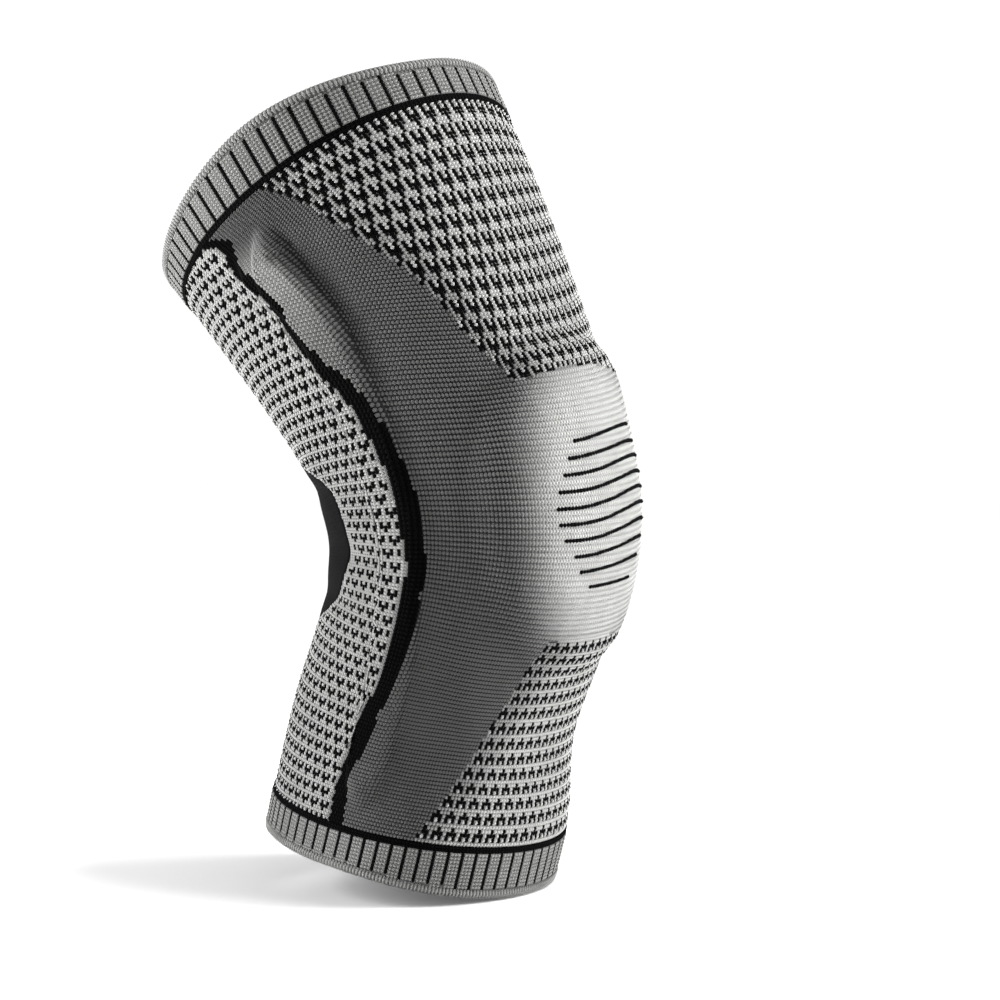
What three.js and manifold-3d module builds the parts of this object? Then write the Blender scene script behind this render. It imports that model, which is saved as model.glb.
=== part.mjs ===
// A knitted knee sleeve in the form it has on a slightly bent knee.
// Millimetres, +Z up. The kneecap faces -Y, and the origin is the knee's centre on the leg's axis.
import * as THREE from 'three';
import Module from 'manifold-3d';

// The leg's axis, from the knee's centre to the centre of each rim
const THIGH_RISE = 136;
const THIGH_SETBACK = 62;
const CALF_DROP = 121.5;
const CALF_SETBACK = 27;

// Tilt of the leg's cross sections, in degrees, front side up
const THIGH_TILT = 35;
const KNEE_TILT = 4;
const CALF_TILT = -10;

// Outer half width, front radius and back radius of the sleeve at the rims and at the knee
const THIGH_HALF_WIDTH = 66;
const THIGH_FRONT = 70;
const THIGH_BACK = 79;
const KNEE_HALF_WIDTH = 58;
const KNEE_FRONT = 59.5;
const KNEE_BACK = 49.5;
const CALF_HALF_WIDTH = 54.5;
const CALF_FRONT = 54.5;
const CALF_BACK = 56;

// Knitted walls
const WALL = 2;
const CUFF_WALL = 3;
const CUFF_PROUD = 0.6;
const BAND_PROUD = 0.2;
const SEAM_GAP = 0.3;

// Cuffs, bands and stripes
const THIGH_CUFF_HEIGHT = 14.5;
const CALF_CUFF_HEIGHT = 17;
const THIGH_RIM_CROWN = 4.5;
const CROWN_ANGLE = 78;
const CROWN_SPREAD = 60;
const THIGH_RIM_DIP = 1.8;
const CALF_RIM_LIFT = 3.6;
const ROLL_HEIGHT = 3.6;
const CUFF_RIBS = 60;
const RIB_DEPTH = 0.5;
const BAND_WIDTH = 3.4;
const STRIPE_WIDTH = 6;

// Kneecap ring, an oval round the kneecap under the front wall
const RING_HALF_WIDTH = 45;
const RING_HALF_HEIGHT = 52;
const RING_HOLE_HALF_WIDTH = 23;
const RING_HOLE_HALF_HEIGHT = 30;
const RING_FLANGE = 2.4;
const RING_BEAD = 4.4;
const RING_CLEARANCE = 0.9;
const PAD_RISE = 4.5;
const PAD_MARGIN = 6;
const PAD_SLOPE = 7;

// Side stays and the raised channel over each
const STAY_WIDTH = 6;
const STAY_THICKNESS = 1.6;
const STAY_CLEARANCE = 0.9;
const STAY_END_ROOM = 5;
const CHANNEL_RISE = 3.6;
const CHANNEL_MARGIN = 2;
const CHANNEL_SLOPE = 4.4;

// Dark oval zone in the hollow of the knee
const HOLLOW_HALF_WIDTH = 66;
const HOLLOW_HALF_HEIGHT = 46;

// Mesh rows and columns of the zones
const SHIN_ROWS = 7;
const PATELLA_ROWS = 11;
const THIGH_ROWS = 10;
const FRONT_COLUMNS = 14;
const STRIPE_COLUMNS = 2;
const OVAL_CELLS = 10;
const BAND_COLUMNS = 48;
const RING_COLUMNS = 40;
const STAY_ROWS = 20;

// Cross sections. Along runs from -1 at the calf rim through 0 at the knee to 1 at the thigh rim.
// Height, setback and tilt are shares of that rim's own. Side, front and back are shares of the
// straight taper between the knee's size and the rim's.
const SECTIONS = [
  { along: -1.00, height: 1.000, setback: 1.00, tilt: 1.00, side: 1.00, front: 1.00, back: 1.00 },
  { along: -0.80, height: 0.802, setback: 0.73, tilt: 1.02, side: 0.99, front: 0.96, back: 1.05 },
  { along: -0.56, height: 0.563, setback: 0.41, tilt: 1.10, side: 0.98, front: 0.81, back: 1.08 },
  { along: -0.28, height: 0.285, setback: 0.09, tilt: 0.98, side: 0.99, front: 0.87, back: 1.02 },
  { along: 0.00, height: 0.000, setback: 0.00, tilt: 0.00, side: 1.00, front: 1.00, back: 1.00 },
  { along: 0.23, height: 0.250, setback: 0.12, tilt: 0.48, side: 0.99, front: 0.98, back: 0.96 },
  { along: 0.46, height: 0.488, setback: 0.33, tilt: 0.71, side: 1.00, front: 0.955, back: 1.00 },
  { along: 0.76, height: 0.776, setback: 0.68, tilt: 0.87, side: 0.99, front: 0.98, back: 1.02 },
  { along: 1.00, height: 1.000, setback: 1.00, tilt: 1.00, side: 1.00, front: 1.00, back: 1.00 },
];

// Border between the front zones and the mesh side, in degrees round the leg from the kneecap
const FRONT_BORDER = [
  { along: -0.86, angle: 60 },
  { along: -0.77, angle: 54 },
  { along: -0.67, angle: 46 },
  { along: -0.60, angle: 40 },
  { along: -0.51, angle: 35 },
  { along: -0.40, angle: 30 },
  { along: -0.30, angle: 26 },
  { along: -0.23, angle: 24 },
  { along: -0.16, angle: 35 },
  { along: -0.08, angle: 43 },
  { along: 0.03, angle: 46 },
  { along: 0.13, angle: 44 },
  { along: 0.20, angle: 39 },
  { along: 0.25, angle: 34 },
  { along: 0.35, angle: 42 },
  { along: 0.44, angle: 47 },
  { along: 0.55, angle: 55 },
  { along: 0.63, angle: 62 },
  { along: 0.72, angle: 70 },
  { along: 0.81, angle: 77 },
  { along: 0.89, angle: 86 },
];

// Middle of the black side stripe
const STRIPE_PATH = [
  { along: -0.86, angle: 90.5 },
  { along: -0.77, angle: 91.5 },
  { along: -0.70, angle: 91 },
  { along: -0.64, angle: 89 },
  { along: -0.57, angle: 86 },
  { along: -0.48, angle: 84 },
  { along: -0.43, angle: 81.5 },
  { along: -0.34, angle: 79 },
  { along: -0.22, angle: 77 },
  { along: -0.14, angle: 76.5 },
  { along: -0.08, angle: 75 },
  { along: 0.00, angle: 76.5 },
  { along: 0.08, angle: 77 },
  { along: 0.13, angle: 78 },
  { along: 0.20, angle: 80.5 },
  { along: 0.25, angle: 82 },
  { along: 0.37, angle: 87.5 },
  { along: 0.41, angle: 91 },
  { along: 0.48, angle: 95 },
  { along: 0.55, angle: 98 },
  { along: 0.59, angle: 97 },
  { along: 0.64, angle: 98 },
  { along: 0.70, angle: 101.5 },
  { along: 0.75, angle: 106 },
  { along: 0.79, angle: 106.5 },
  { along: 0.84, angle: 106 },
  { along: 0.89, angle: 113.5 },
];

// Middle of the side stay, from its lower end to its upper end
const STAY_PATH = [
  { along: -0.66, angle: 84 },
  { along: -0.48, angle: 83 },
  { along: -0.34, angle: 82.5 },
  { along: -0.16, angle: 82 },
  { along: 0.00, angle: 82 },
  { along: 0.13, angle: 84 },
  { along: 0.30, angle: 86 },
  { along: 0.41, angle: 87.5 },
  { along: 0.52, angle: 89 },
  { along: 0.62, angle: 92 },
  { along: 0.71, angle: 96 },
];

// Places of the edges between the front zones, and how far their middles rise
const PATELLA_TOP = { along: 0.25, rise: 0.015 };
const PATELLA_BOTTOM = { along: -0.23, rise: 0.01 };
const PATELLA_MIDDLE = 0.04;

// Folds: place, half length and half width as shares of the knee's half width, turn in degrees
// from level towards the thigh, and depth as a share of the channel's rise
const FOLDS = [
  { along: 0.71, angle: 112, length: 0.42, width: 0.09, turn: 60, depth: 0.50 },
  { along: 0.60, angle: 79, length: 0.55, width: 0.10, turn: 85, depth: 0.35 },
  { along: -0.05, angle: 104, length: 0.40, width: 0.12, turn: 10, depth: 0.40 },
  { along: -0.20, angle: 122, length: 0.45, width: 0.12, turn: -5, depth: 0.45 },
  { along: 0.16, angle: 128, length: 0.45, width: 0.12, turn: 15, depth: 0.45 },
  { along: -0.45, angle: 96, length: 0.35, width: 0.11, turn: -35, depth: 0.40 },
  { along: -0.43, angle: 58, length: 0.50, width: 0.14, turn: 70, depth: 0.35 },
];

const THIGH_REACH = Math.hypot(THIGH_RISE, THIGH_SETBACK);
const CALF_REACH = Math.hypot(CALF_DROP, CALF_SETBACK);
const radians = THREE.MathUtils.degToRad;
const lerp = THREE.MathUtils.lerp;
const reachOf = (along) => (along < 0 ? CALF_REACH : THIGH_REACH);
const placed = (rows) => rows.map((row) => ({ ...row, at: row.along * reachOf(row.along) }));

// The leg's sections at their own sizes, in order up the leg
const STATIONS = placed(SECTIONS).map((row) => {
  const calf = row.along < 0;
  const taper = Math.abs(row.along);
  return {
    at: row.at,
    height: row.height * (calf ? -CALF_DROP : THIGH_RISE),
    setback: row.setback * (calf ? CALF_SETBACK : THIGH_SETBACK),
    tilt: lerp(KNEE_TILT, calf ? CALF_TILT : THIGH_TILT, row.tilt),
    side: row.side * lerp(KNEE_HALF_WIDTH, calf ? CALF_HALF_WIDTH : THIGH_HALF_WIDTH, taper),
    front: row.front * lerp(KNEE_FRONT, calf ? CALF_FRONT : THIGH_FRONT, taper),
    back: row.back * lerp(KNEE_BACK, calf ? CALF_BACK : THIGH_BACK, taper),
  };
});
const FRONT_EDGE = placed(FRONT_BORDER);
const STRIPE = placed(STRIPE_PATH);
const STAY = placed(STAY_PATH);

// Smooth curve through one column of a placed table at a length v up the leg from the knee,
// straight beyond the table's ends
function through(rows, column, v) {
  let i = 0;
  while (i < rows.length - 2 && v > rows[i + 1].at) i += 1;
  const slope = (k) => (rows[k + 1][column] - rows[k][column]) / (rows[k + 1].at - rows[k].at);
  const last = rows.length - 2;
  const before = i > 0 ? (slope(i - 1) + slope(i)) / 2 : slope(i);
  const after = i < last ? (slope(i) + slope(i + 1)) / 2 : slope(i);
  const step = rows[i + 1].at - rows[i].at;
  const t = (v - rows[i].at) / step;
  if (t < 0) return rows[i][column] + before * step * t;
  if (t > 1) return rows[i + 1][column] + after * step * (t - 1);
  const start = (1 + 2 * t) * (1 - t) ** 2 * rows[i][column] + t * (1 - t) ** 2 * step * before;
  const end = t * t * (3 - 2 * t) * rows[i + 1][column] + t * t * (t - 1) * step * after;
  return start + end;
}

// Point of the plain leg form at angle u, in degrees from the kneecap towards -X, and length v
function legPoint(u, v) {
  const turn = radians(u);
  const tilt = radians(through(STATIONS, 'tilt', v));
  const forward = Math.cos(turn) * through(STATIONS, Math.cos(turn) > 0 ? 'front' : 'back', v);
  return new THREE.Vector3(
    -Math.sin(turn) * through(STATIONS, 'side', v),
    through(STATIONS, 'setback', v) - forward * Math.cos(tilt),
    through(STATIONS, 'height', v) + forward * Math.sin(tilt),
  );
}

// Length of the surface across one degree
function degreeLength(u, v) {
  return legPoint(u + 0.5, v).distanceTo(legPoint(u - 0.5, v));
}

// 1 inside, falling smoothly to 0 over one unit
function fall(distance) {
  const t = THREE.MathUtils.clamp(distance, 0, 1);
  return 1 - t * t * (3 - 2 * t);
}

const folded = (u) => Math.abs(((u + 540) % 360) - 180);

// The front of the bent knee spreads its levels apart by this factor
const RING_MIDDLE = PATELLA_MIDDLE * THIGH_REACH;
const KNEE_SPREAD = legPoint(0, RING_MIDDLE + 10).distanceTo(legPoint(0, RING_MIDDLE - 10)) / 20;

// Rise of the wall over the kneecap ring
function padRise(u, v) {
  const across = radians(u) * KNEE_FRONT;
  const up = (v - RING_MIDDLE) * KNEE_SPREAD;
  const reach = Math.hypot(across / RING_HALF_WIDTH, up / RING_HALF_HEIGHT);
  return PAD_RISE * fall(((reach - 1) * RING_HALF_WIDTH - PAD_MARGIN) / PAD_SLOPE);
}

// Rise of the wall over a side stay
function channelRise(u, v) {
  const bottom = STAY[0].at;
  const top = STAY[STAY.length - 1].at;
  const nearest = THREE.MathUtils.clamp(v, bottom, top);
  const across = (u - through(STAY, 'angle', nearest)) * degreeLength(u, v);
  const away = Math.hypot(across, v - nearest);
  return CHANNEL_RISE * fall((away - STAY_WIDTH / 2 - CHANNEL_MARGIN) / CHANNEL_SLOPE);
}

// Depth of the folds
function foldDepth(u, v) {
  let depth = 0;
  for (const fold of FOLDS) {
    const across = (u - fold.angle) * degreeLength(u, v);
    const up = v - fold.along * reachOf(fold.along);
    const turn = radians(fold.turn);
    const lengthwise = (across * Math.cos(turn) + up * Math.sin(turn)) / (fold.length * KNEE_HALF_WIDTH);
    const sideways = (up * Math.cos(turn) - across * Math.sin(turn)) / (fold.width * KNEE_HALF_WIDTH);
    depth += fold.depth * CHANNEL_RISE * Math.exp(-(lengthwise ** 2) - sideways ** 2);
  }
  return depth;
}

// Point of the sleeve at u and v, a given depth under the outer face of the knit
function skin(u, v, depth) {
  const around = legPoint(u + 0.2, v).sub(legPoint(u - 0.2, v));
  const upward = legPoint(u, v + 0.2).sub(legPoint(u, v - 0.2));
  const outward = upward.cross(around).normalize();
  const side = folded(u);
  const rise = padRise(side, v) + channelRise(side, v) - foldDepth(side, v);
  return legPoint(u, v).addScaledVector(outward, rise - depth);
}

// Closed mesh from faces of four corners
function meshFrom(points, faces) {
  const geometry = new THREE.BufferGeometry();
  const triangles = faces.flatMap(([a, b, c, d]) => [a, b, c, a, c, d]);
  geometry.setAttribute('position', new THREE.Float32BufferAttribute(points.flatMap((p) => p.toArray()), 3));
  geometry.setIndex(triangles);
  geometry.computeVertexNormals();
  return geometry;
}

// Sheet with a thickness: rows run upward and columns run round from the kneecap towards -X
function plate(outer, inner) {
  const rows = outer.length;
  const columns = outer[0].length;
  const points = [...outer.flat(), ...inner.flat()];
  const out = (i, j) => i * columns + j;
  const back = (i, j) => rows * columns + i * columns + j;
  const faces = [];
  for (let i = 0; i < rows - 1; i += 1) {
    for (let j = 0; j < columns - 1; j += 1) {
      faces.push([out(i, j), out(i + 1, j), out(i + 1, j + 1), out(i, j + 1)]);
      faces.push([back(i, j), back(i, j + 1), back(i + 1, j + 1), back(i + 1, j)]);
    }
  }
  for (let i = 0; i < rows - 1; i += 1) {
    const end = columns - 1;
    faces.push([out(i, 0), back(i, 0), back(i + 1, 0), out(i + 1, 0)]);
    faces.push([out(i, end), out(i + 1, end), back(i + 1, end), back(i, end)]);
  }
  for (let j = 0; j < columns - 1; j += 1) {
    const end = rows - 1;
    faces.push([out(0, j), out(0, j + 1), back(0, j + 1), back(0, j)]);
    faces.push([out(end, j), back(end, j), back(end, j + 1), out(end, j + 1)]);
  }
  return meshFrom(points, faces);
}

// Hoop whose closed section is repeated round the leg or the kneecap
function hoop(sections) {
  const turns = sections.length;
  const corners = sections[0].length;
  const faces = [];
  for (let i = 0; i < turns; i += 1) {
    const next = (i + 1) % turns;
    for (let j = 0; j < corners; j += 1) {
      const k = (j + 1) % corners;
      faces.push([i * corners + j, i * corners + k, next * corners + k, next * corners + j]);
    }
  }
  return meshFrom(sections.flat(), faces);
}

const count = (n) => Array.from({ length: n }, (_, i) => i);
const spread = (from, to, steps) => count(steps + 1).map((i) => lerp(from, to, i / steps));

// Lengths at which the zones begin and end
const THIGH_BAND_TOP = THIGH_REACH - THIGH_CUFF_HEIGHT;
const BODY_TOP = THIGH_BAND_TOP - BAND_WIDTH;
const CALF_BAND_BOTTOM = CALF_CUFF_HEIGHT - CALF_REACH;
const BODY_BOTTOM = CALF_BAND_BOTTOM + BAND_WIDTH;
const PATELLA_FLOOR = PATELLA_BOTTOM.along * CALF_REACH;
const PATELLA_CEILING = PATELLA_TOP.along * THIGH_REACH;
const HALF_GAP = SEAM_GAP / 2;

const SHIN_LEVELS = spread(BODY_BOTTOM + HALF_GAP, PATELLA_FLOOR, SHIN_ROWS);
const PATELLA_LEVELS = spread(PATELLA_FLOOR, PATELLA_CEILING, PATELLA_ROWS);
const THIGH_LEVELS = spread(PATELLA_CEILING, BODY_TOP - HALF_GAP, THIGH_ROWS);
const BODY_LEVELS = [...SHIN_LEVELS, ...PATELLA_LEVELS.slice(1), ...THIGH_LEVELS.slice(1)];

const frontBorder = (v) => through(FRONT_EDGE, 'angle', v);
const stripeMiddle = (v) => through(STRIPE, 'angle', v);
const degrees = (length, u, v) => length / degreeLength(u, v);
const stripeEdge = (v, away) => stripeMiddle(v) + degrees(away, stripeMiddle(v), v);

// Zone wall from a grid of angle and length
function wallFrom(grid) {
  const outer = grid.map((row) => row.map(([u, v]) => skin(u, v, 0)));
  const inner = grid.map((row) => row.map(([u, v]) => skin(u, v, WALL)));
  return plate(outer, inner);
}

// Grid between two borders, with columns at the given shares of the way
function strip(levels, from, to, shares) {
  return levels.map((v) => shares.map((share) => [lerp(from(v), to(v), share), v]));
}

// Front zone between its two edges, whose middles rise, and the borders of the mesh sides
function frontZone(levels, lowRise, highRise) {
  const low = levels[0];
  const high = levels[levels.length - 1];
  const grid = levels.map((v) => spread(-1, 1, FRONT_COLUMNS).map((across) => {
    const share = (v - low) / (high - low);
    const rise = lerp(lowRise, highRise, share) * THIGH_REACH * (1 - across ** 2);
    const border = frontBorder(v) - degrees(HALF_GAP, frontBorder(v), v);
    return [across * border, v + rise];
  }));
  return wallFrom(grid);
}

// Levels of one zone, pulled in by half a gap at its ends
function within(levels, lowGap, highGap) {
  const inner = levels.slice(1, -1);
  return [levels[0] + lowGap, ...inner, levels[levels.length - 1] - highGap];
}

const mirrored = (grid) => grid.map((row) => row.map(([u, v]) => [-u, v]).reverse());

// Mesh side from the front zones to the stripe, with its columns closer along the raised channel
function sideZone() {
  const shares = [0, 0.15, 0.31, 0.46, 0.59, 0.7, 0.79, 0.86, 0.93, 1];
  const from = (v) => frontBorder(v) + degrees(HALF_GAP, frontBorder(v), v);
  const to = (v) => stripeEdge(v, -STRIPE_WIDTH / 2 - HALF_GAP);
  return strip(BODY_LEVELS, from, to, shares);
}

function stripeZone() {
  const from = (v) => stripeEdge(v, HALF_GAP - STRIPE_WIDTH / 2);
  const to = (v) => stripeEdge(v, STRIPE_WIDTH / 2 - HALF_GAP);
  return strip(BODY_LEVELS, from, to, spread(0, 1, STRIPE_COLUMNS));
}

// Oval of the hollow of the knee in level rows, blunt at its top and bottom
function hollowGrid(grow) {
  const halfWidth = (HOLLOW_HALF_WIDTH + grow) / ((KNEE_HALF_WIDTH + KNEE_BACK) / 2);
  const halfHeight = HOLLOW_HALF_HEIGHT + grow;
  const blunt = radians(80);
  return spread(-blunt, blunt, OVAL_CELLS).map((turn) => spread(-1, 1, OVAL_CELLS).map((across) => [
    180 + THREE.MathUtils.radToDeg(halfWidth) * across * Math.cos(turn),
    halfHeight * Math.sin(turn) / Math.sin(blunt),
  ]));
}

const wasm = await Module();
wasm.setup();

function solidFrom(geometry) {
  return new wasm.Manifold(new wasm.Mesh({
    numProp: 3,
    vertProperties: geometry.getAttribute('position').array,
    triVerts: Uint32Array.from(geometry.getIndex().array),
  }));
}

function geometryFrom(solid) {
  const { vertProperties, triVerts } = solid.getMesh();
  const geometry = new THREE.BufferGeometry();
  geometry.setAttribute('position', new THREE.BufferAttribute(vertProperties, 3));
  geometry.setIndex(new THREE.BufferAttribute(triVerts, 1));
  geometry.computeVertexNormals();
  return geometry;
}

// Thick oval through the wall, which cuts both the zone in the hollow of the knee and the hole for it
function ovalCutter(grow) {
  const grid = hollowGrid(grow);
  const outer = grid.map((row) => row.map(([u, v]) => skin(u, v, -2 * WALL)));
  const inner = grid.map((row) => row.map(([u, v]) => skin(u, v, 2 * WALL)));
  return solidFrom(plate(outer, inner));
}

function hollowZone() {
  return geometryFrom(solidFrom(wallFrom(hollowGrid(WALL))).intersect(ovalCutter(0)));
}

// Back wall from stripe to stripe, with the hole
function backZone() {
  const near = [0, 0.02, 0.045, 0.085, 0.14, 0.215, 0.305, 0.4];
  const shares = [...near, 0.5, ...near.map((share) => 1 - share).reverse()];
  const from = (v) => stripeEdge(v, STRIPE_WIDTH / 2 + HALF_GAP);
  const wall = wallFrom(strip(BODY_LEVELS, from, (v) => 360 - from(v), shares));
  return geometryFrom(solidFrom(wall).subtract(ovalCutter(SEAM_GAP)));
}

// Band knitted in black between a cuff and the body
function band(bottom, top) {
  const sections = count(BAND_COLUMNS).map((i) => {
    const u = 360 * i / BAND_COLUMNS;
    const low = bottom + HALF_GAP;
    const high = top - HALF_GAP;
    return [skin(u, low, -BAND_PROUD), skin(u, high, -BAND_PROUD), skin(u, high, WALL), skin(u, low, WALL)];
  });
  return hoop(sections);
}

// Levels of the cuffs' rims: the thigh's rises at the sides, the calf's at the sides and the back
function thighRim(u) {
  const crown = THIGH_RIM_CROWN * fall(Math.abs(folded(u) - CROWN_ANGLE) / CROWN_SPREAD);
  return THIGH_REACH + crown - THIGH_RIM_DIP * fall(1 - Math.cos(radians(u)));
}

function calfRim(u) {
  return CALF_RIM_LIFT * (1 - fall(1 - Math.cos(radians(u)))) - CALF_REACH;
}

// Ribbed doubled cuff with a plain rolled edge. Way is 1 on the thigh and -1 on the calf.
function cuff(seam, rim, way) {
  const sections = count(2 * CUFF_RIBS).map((i) => {
    const u = 360 * i / (2 * CUFF_RIBS);
    const face = -CUFF_PROUD + (i % 2) * RIB_DEPTH;
    const inside = CUFF_WALL - CUFF_PROUD;
    const start = seam + way * HALF_GAP;
    const corners = [
      skin(u, start, face),
      skin(u, rim(u) - way * ROLL_HEIGHT, face),
      skin(u, rim(u), RIB_DEPTH - CUFF_PROUD),
      skin(u, rim(u), inside - RIB_DEPTH),
      skin(u, start, inside),
    ];
    return way > 0 ? corners : corners.reverse();
  });
  return hoop(sections);
}

// Silicone ring under the raised front wall, with a bead round its hole
function patellaRing() {
  const top = WALL + RING_CLEARANCE;
  const profile = [
    { out: 0.12, depth: RING_BEAD },
    { out: 0.30, depth: RING_BEAD },
    { out: 0.48, depth: RING_FLANGE },
    { out: 0.97, depth: RING_FLANGE },
    { out: 1.00, depth: RING_FLANGE * 0.4 },
    { out: 0.95, depth: 0 },
    { out: 0.10, depth: 0 },
    { out: 0.00, depth: RING_FLANGE * 0.3 },
    { out: 0.00, depth: RING_FLANGE * 0.9 },
  ];
  const sections = count(RING_COLUMNS).map((i) => {
    const turn = 2 * Math.PI * i / RING_COLUMNS;
    return profile.map(({ out, depth }) => {
      const halfWidth = lerp(RING_HOLE_HALF_WIDTH, RING_HALF_WIDTH, out);
      const halfHeight = lerp(RING_HOLE_HALF_HEIGHT, RING_HALF_HEIGHT, out);
      const u = THREE.MathUtils.radToDeg(halfWidth * Math.cos(turn) / KNEE_FRONT);
      const v = RING_MIDDLE + halfHeight * Math.sin(turn) / KNEE_SPREAD;
      return skin(u, v, top + depth);
    });
  });
  return hoop(sections);
}

// Flat stay with rounded ends under the raised channel
function stayGrid() {
  const bottom = STAY[0].at + STAY_END_ROOM;
  const top = STAY[STAY.length - 1].at - STAY_END_ROOM;
  return spread(bottom, top, STAY_ROWS).map((v) => {
    const middle = through(STAY, 'angle', v);
    const atEnd = v === bottom || v === top;
    const half = STAY_WIDTH / 2 * (atEnd ? 0.6 : 1);
    return [-1, 0, 1].map((across) => [middle + degrees(across * half, middle, v), v]);
  });
}

function stayFrom(grid) {
  const top = WALL + STAY_CLEARANCE;
  const outer = grid.map((row) => row.map(([u, v]) => skin(u, v, top)));
  const inner = grid.map((row) => row.map(([u, v]) => skin(u, v, top + STAY_THICKNESS)));
  return plate(outer, inner);
}

function yarn(colour, roughness) {
  return new THREE.MeshStandardMaterial({ color: colour, roughness, metalness: 0 });
}

const LIGHT_KNIT = yarn('#c9c9c9', 0.9);
const CUFF_KNIT = yarn('#b4b4b2', 0.9);
const MESH_KNIT = yarn('#7c7c7c', 0.9);
const BLACK_KNIT = yarn('#141414', 0.85);
const DARK_KNIT = yarn('#2a2a2b', 0.85);
const SILICONE = yarn('#cfced6', 0.35);
const STAY_STEEL = new THREE.MeshStandardMaterial({ color: '#8f9194', roughness: 0.4, metalness: 1 });

const sleeve = new THREE.Group();

function add(name, geometry, material) {
  const mesh = new THREE.Mesh(geometry, material);
  mesh.name = name;
  sleeve.add(mesh);
}

add('thigh_cuff', cuff(THIGH_BAND_TOP, thighRim, 1), CUFF_KNIT);
add('thigh_band', band(BODY_TOP, THIGH_BAND_TOP), BLACK_KNIT);
add('thigh_panel', frontZone(within(THIGH_LEVELS, HALF_GAP, 0), PATELLA_TOP.rise, 0), LIGHT_KNIT);
add('patella_panel', frontZone(
  within(PATELLA_LEVELS, HALF_GAP, HALF_GAP),
  PATELLA_BOTTOM.rise,
  PATELLA_TOP.rise,
), LIGHT_KNIT);
add('shin_panel', frontZone(within(SHIN_LEVELS, 0, HALF_GAP), 0, PATELLA_BOTTOM.rise), LIGHT_KNIT);
add('side_panel_right', wallFrom(sideZone()), MESH_KNIT);
add('side_panel_left', wallFrom(mirrored(sideZone())), MESH_KNIT);
add('side_stripe_right', wallFrom(stripeZone()), BLACK_KNIT);
add('side_stripe_left', wallFrom(mirrored(stripeZone())), BLACK_KNIT);
add('back_panel', backZone(), LIGHT_KNIT);
add('popliteal_panel', hollowZone(), DARK_KNIT);
add('calf_band', band(CALF_BAND_BOTTOM, BODY_BOTTOM), BLACK_KNIT);
add('calf_cuff', cuff(CALF_BAND_BOTTOM, calfRim, -1), CUFF_KNIT);
add('patella_ring', patellaRing(), SILICONE);
add('side_stay_right', stayFrom(stayGrid()), STAY_STEEL);
add('side_stay_left', stayFrom(mirrored(stayGrid())), STAY_STEEL);

export default sleeve;
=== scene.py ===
# %% [markdown]
# A knitted knee sleeve, worn on a slightly bent knee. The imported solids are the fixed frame. They
# say where each knitted zone lies, and this script dresses them with yarn, because the solids are
# plain shells and the real thing is all stitches.

# %% Load the frame
import math

import bpy
import numpy as np
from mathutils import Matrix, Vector


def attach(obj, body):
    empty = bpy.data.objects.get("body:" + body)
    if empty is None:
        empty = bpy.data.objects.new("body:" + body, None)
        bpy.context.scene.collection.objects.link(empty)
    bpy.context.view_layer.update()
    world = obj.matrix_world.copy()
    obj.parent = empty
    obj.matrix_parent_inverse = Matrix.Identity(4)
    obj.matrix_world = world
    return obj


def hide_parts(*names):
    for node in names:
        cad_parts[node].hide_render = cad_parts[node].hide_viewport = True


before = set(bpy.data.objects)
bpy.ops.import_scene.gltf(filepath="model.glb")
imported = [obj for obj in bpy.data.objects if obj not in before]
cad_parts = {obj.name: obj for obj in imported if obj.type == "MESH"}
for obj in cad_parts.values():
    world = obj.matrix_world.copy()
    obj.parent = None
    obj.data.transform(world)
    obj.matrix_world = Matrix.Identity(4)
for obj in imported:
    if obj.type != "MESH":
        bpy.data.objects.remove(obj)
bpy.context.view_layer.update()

MM = 0.001

# %% [markdown]
# A circular knitting machine makes the sleeve as one tube, and the leg inside gives it its shape.
# It could be modelled by hand, but then every stitch would need its own place. So every piece here
# is laid on one surface with two measures: the angle u round the leg from the kneecap, and the
# length v along the leg from the knee. The tables are the same as in the solids.

# %% Sizes of the leg form, in millimetres and degrees
THIGH_RISE = 136
THIGH_SETBACK = 62
CALF_DROP = 121.5
CALF_SETBACK = 27
THIGH_TILT = 35
KNEE_TILT = 4
CALF_TILT = -10
THIGH_HALF_WIDTH = 66
THIGH_FRONT = 70
THIGH_BACK = 79
KNEE_HALF_WIDTH = 58
KNEE_FRONT = 59.5
KNEE_BACK = 49.5
CALF_HALF_WIDTH = 54.5
CALF_FRONT = 54.5
CALF_BACK = 56
THIGH_REACH = math.hypot(THIGH_RISE, THIGH_SETBACK)
CALF_REACH = math.hypot(CALF_DROP, CALF_SETBACK)
print("thigh", round(THIGH_REACH, 1), "mm and calf", round(CALF_REACH, 1), "mm along the leg")

# %% Tables along the leg
# Along, then height, setback, tilt, side, front and back as shares of the taper to the rim
SECTIONS = [
    (-1.00, 1.000, 1.00, 1.00, 1.00, 1.000, 1.00),
    (-0.80, 0.802, 0.73, 1.02, 0.99, 0.960, 1.05),
    (-0.56, 0.563, 0.41, 1.10, 0.98, 0.810, 1.08),
    (-0.28, 0.285, 0.09, 0.98, 0.99, 0.870, 1.02),
    (0.00, 0.000, 0.00, 0.00, 1.00, 1.000, 1.00),
    (0.23, 0.250, 0.12, 0.48, 0.99, 0.980, 0.96),
    (0.46, 0.488, 0.33, 0.71, 1.00, 0.955, 1.00),
    (0.76, 0.776, 0.68, 0.87, 0.99, 0.980, 1.02),
    (1.00, 1.000, 1.00, 1.00, 1.00, 1.000, 1.00),
]
# Along and the angle of the light front zones' edge
FRONT_BORDER = [
    (-0.86, 60), (-0.77, 54), (-0.67, 46), (-0.60, 40), (-0.51, 35), (-0.40, 30), (-0.30, 26),
    (-0.23, 24), (-0.16, 35), (-0.08, 43), (0.03, 46), (0.13, 44), (0.20, 39), (0.25, 34),
    (0.35, 42), (0.44, 47), (0.55, 55), (0.63, 62), (0.72, 70), (0.81, 77), (0.89, 86),
]
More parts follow.
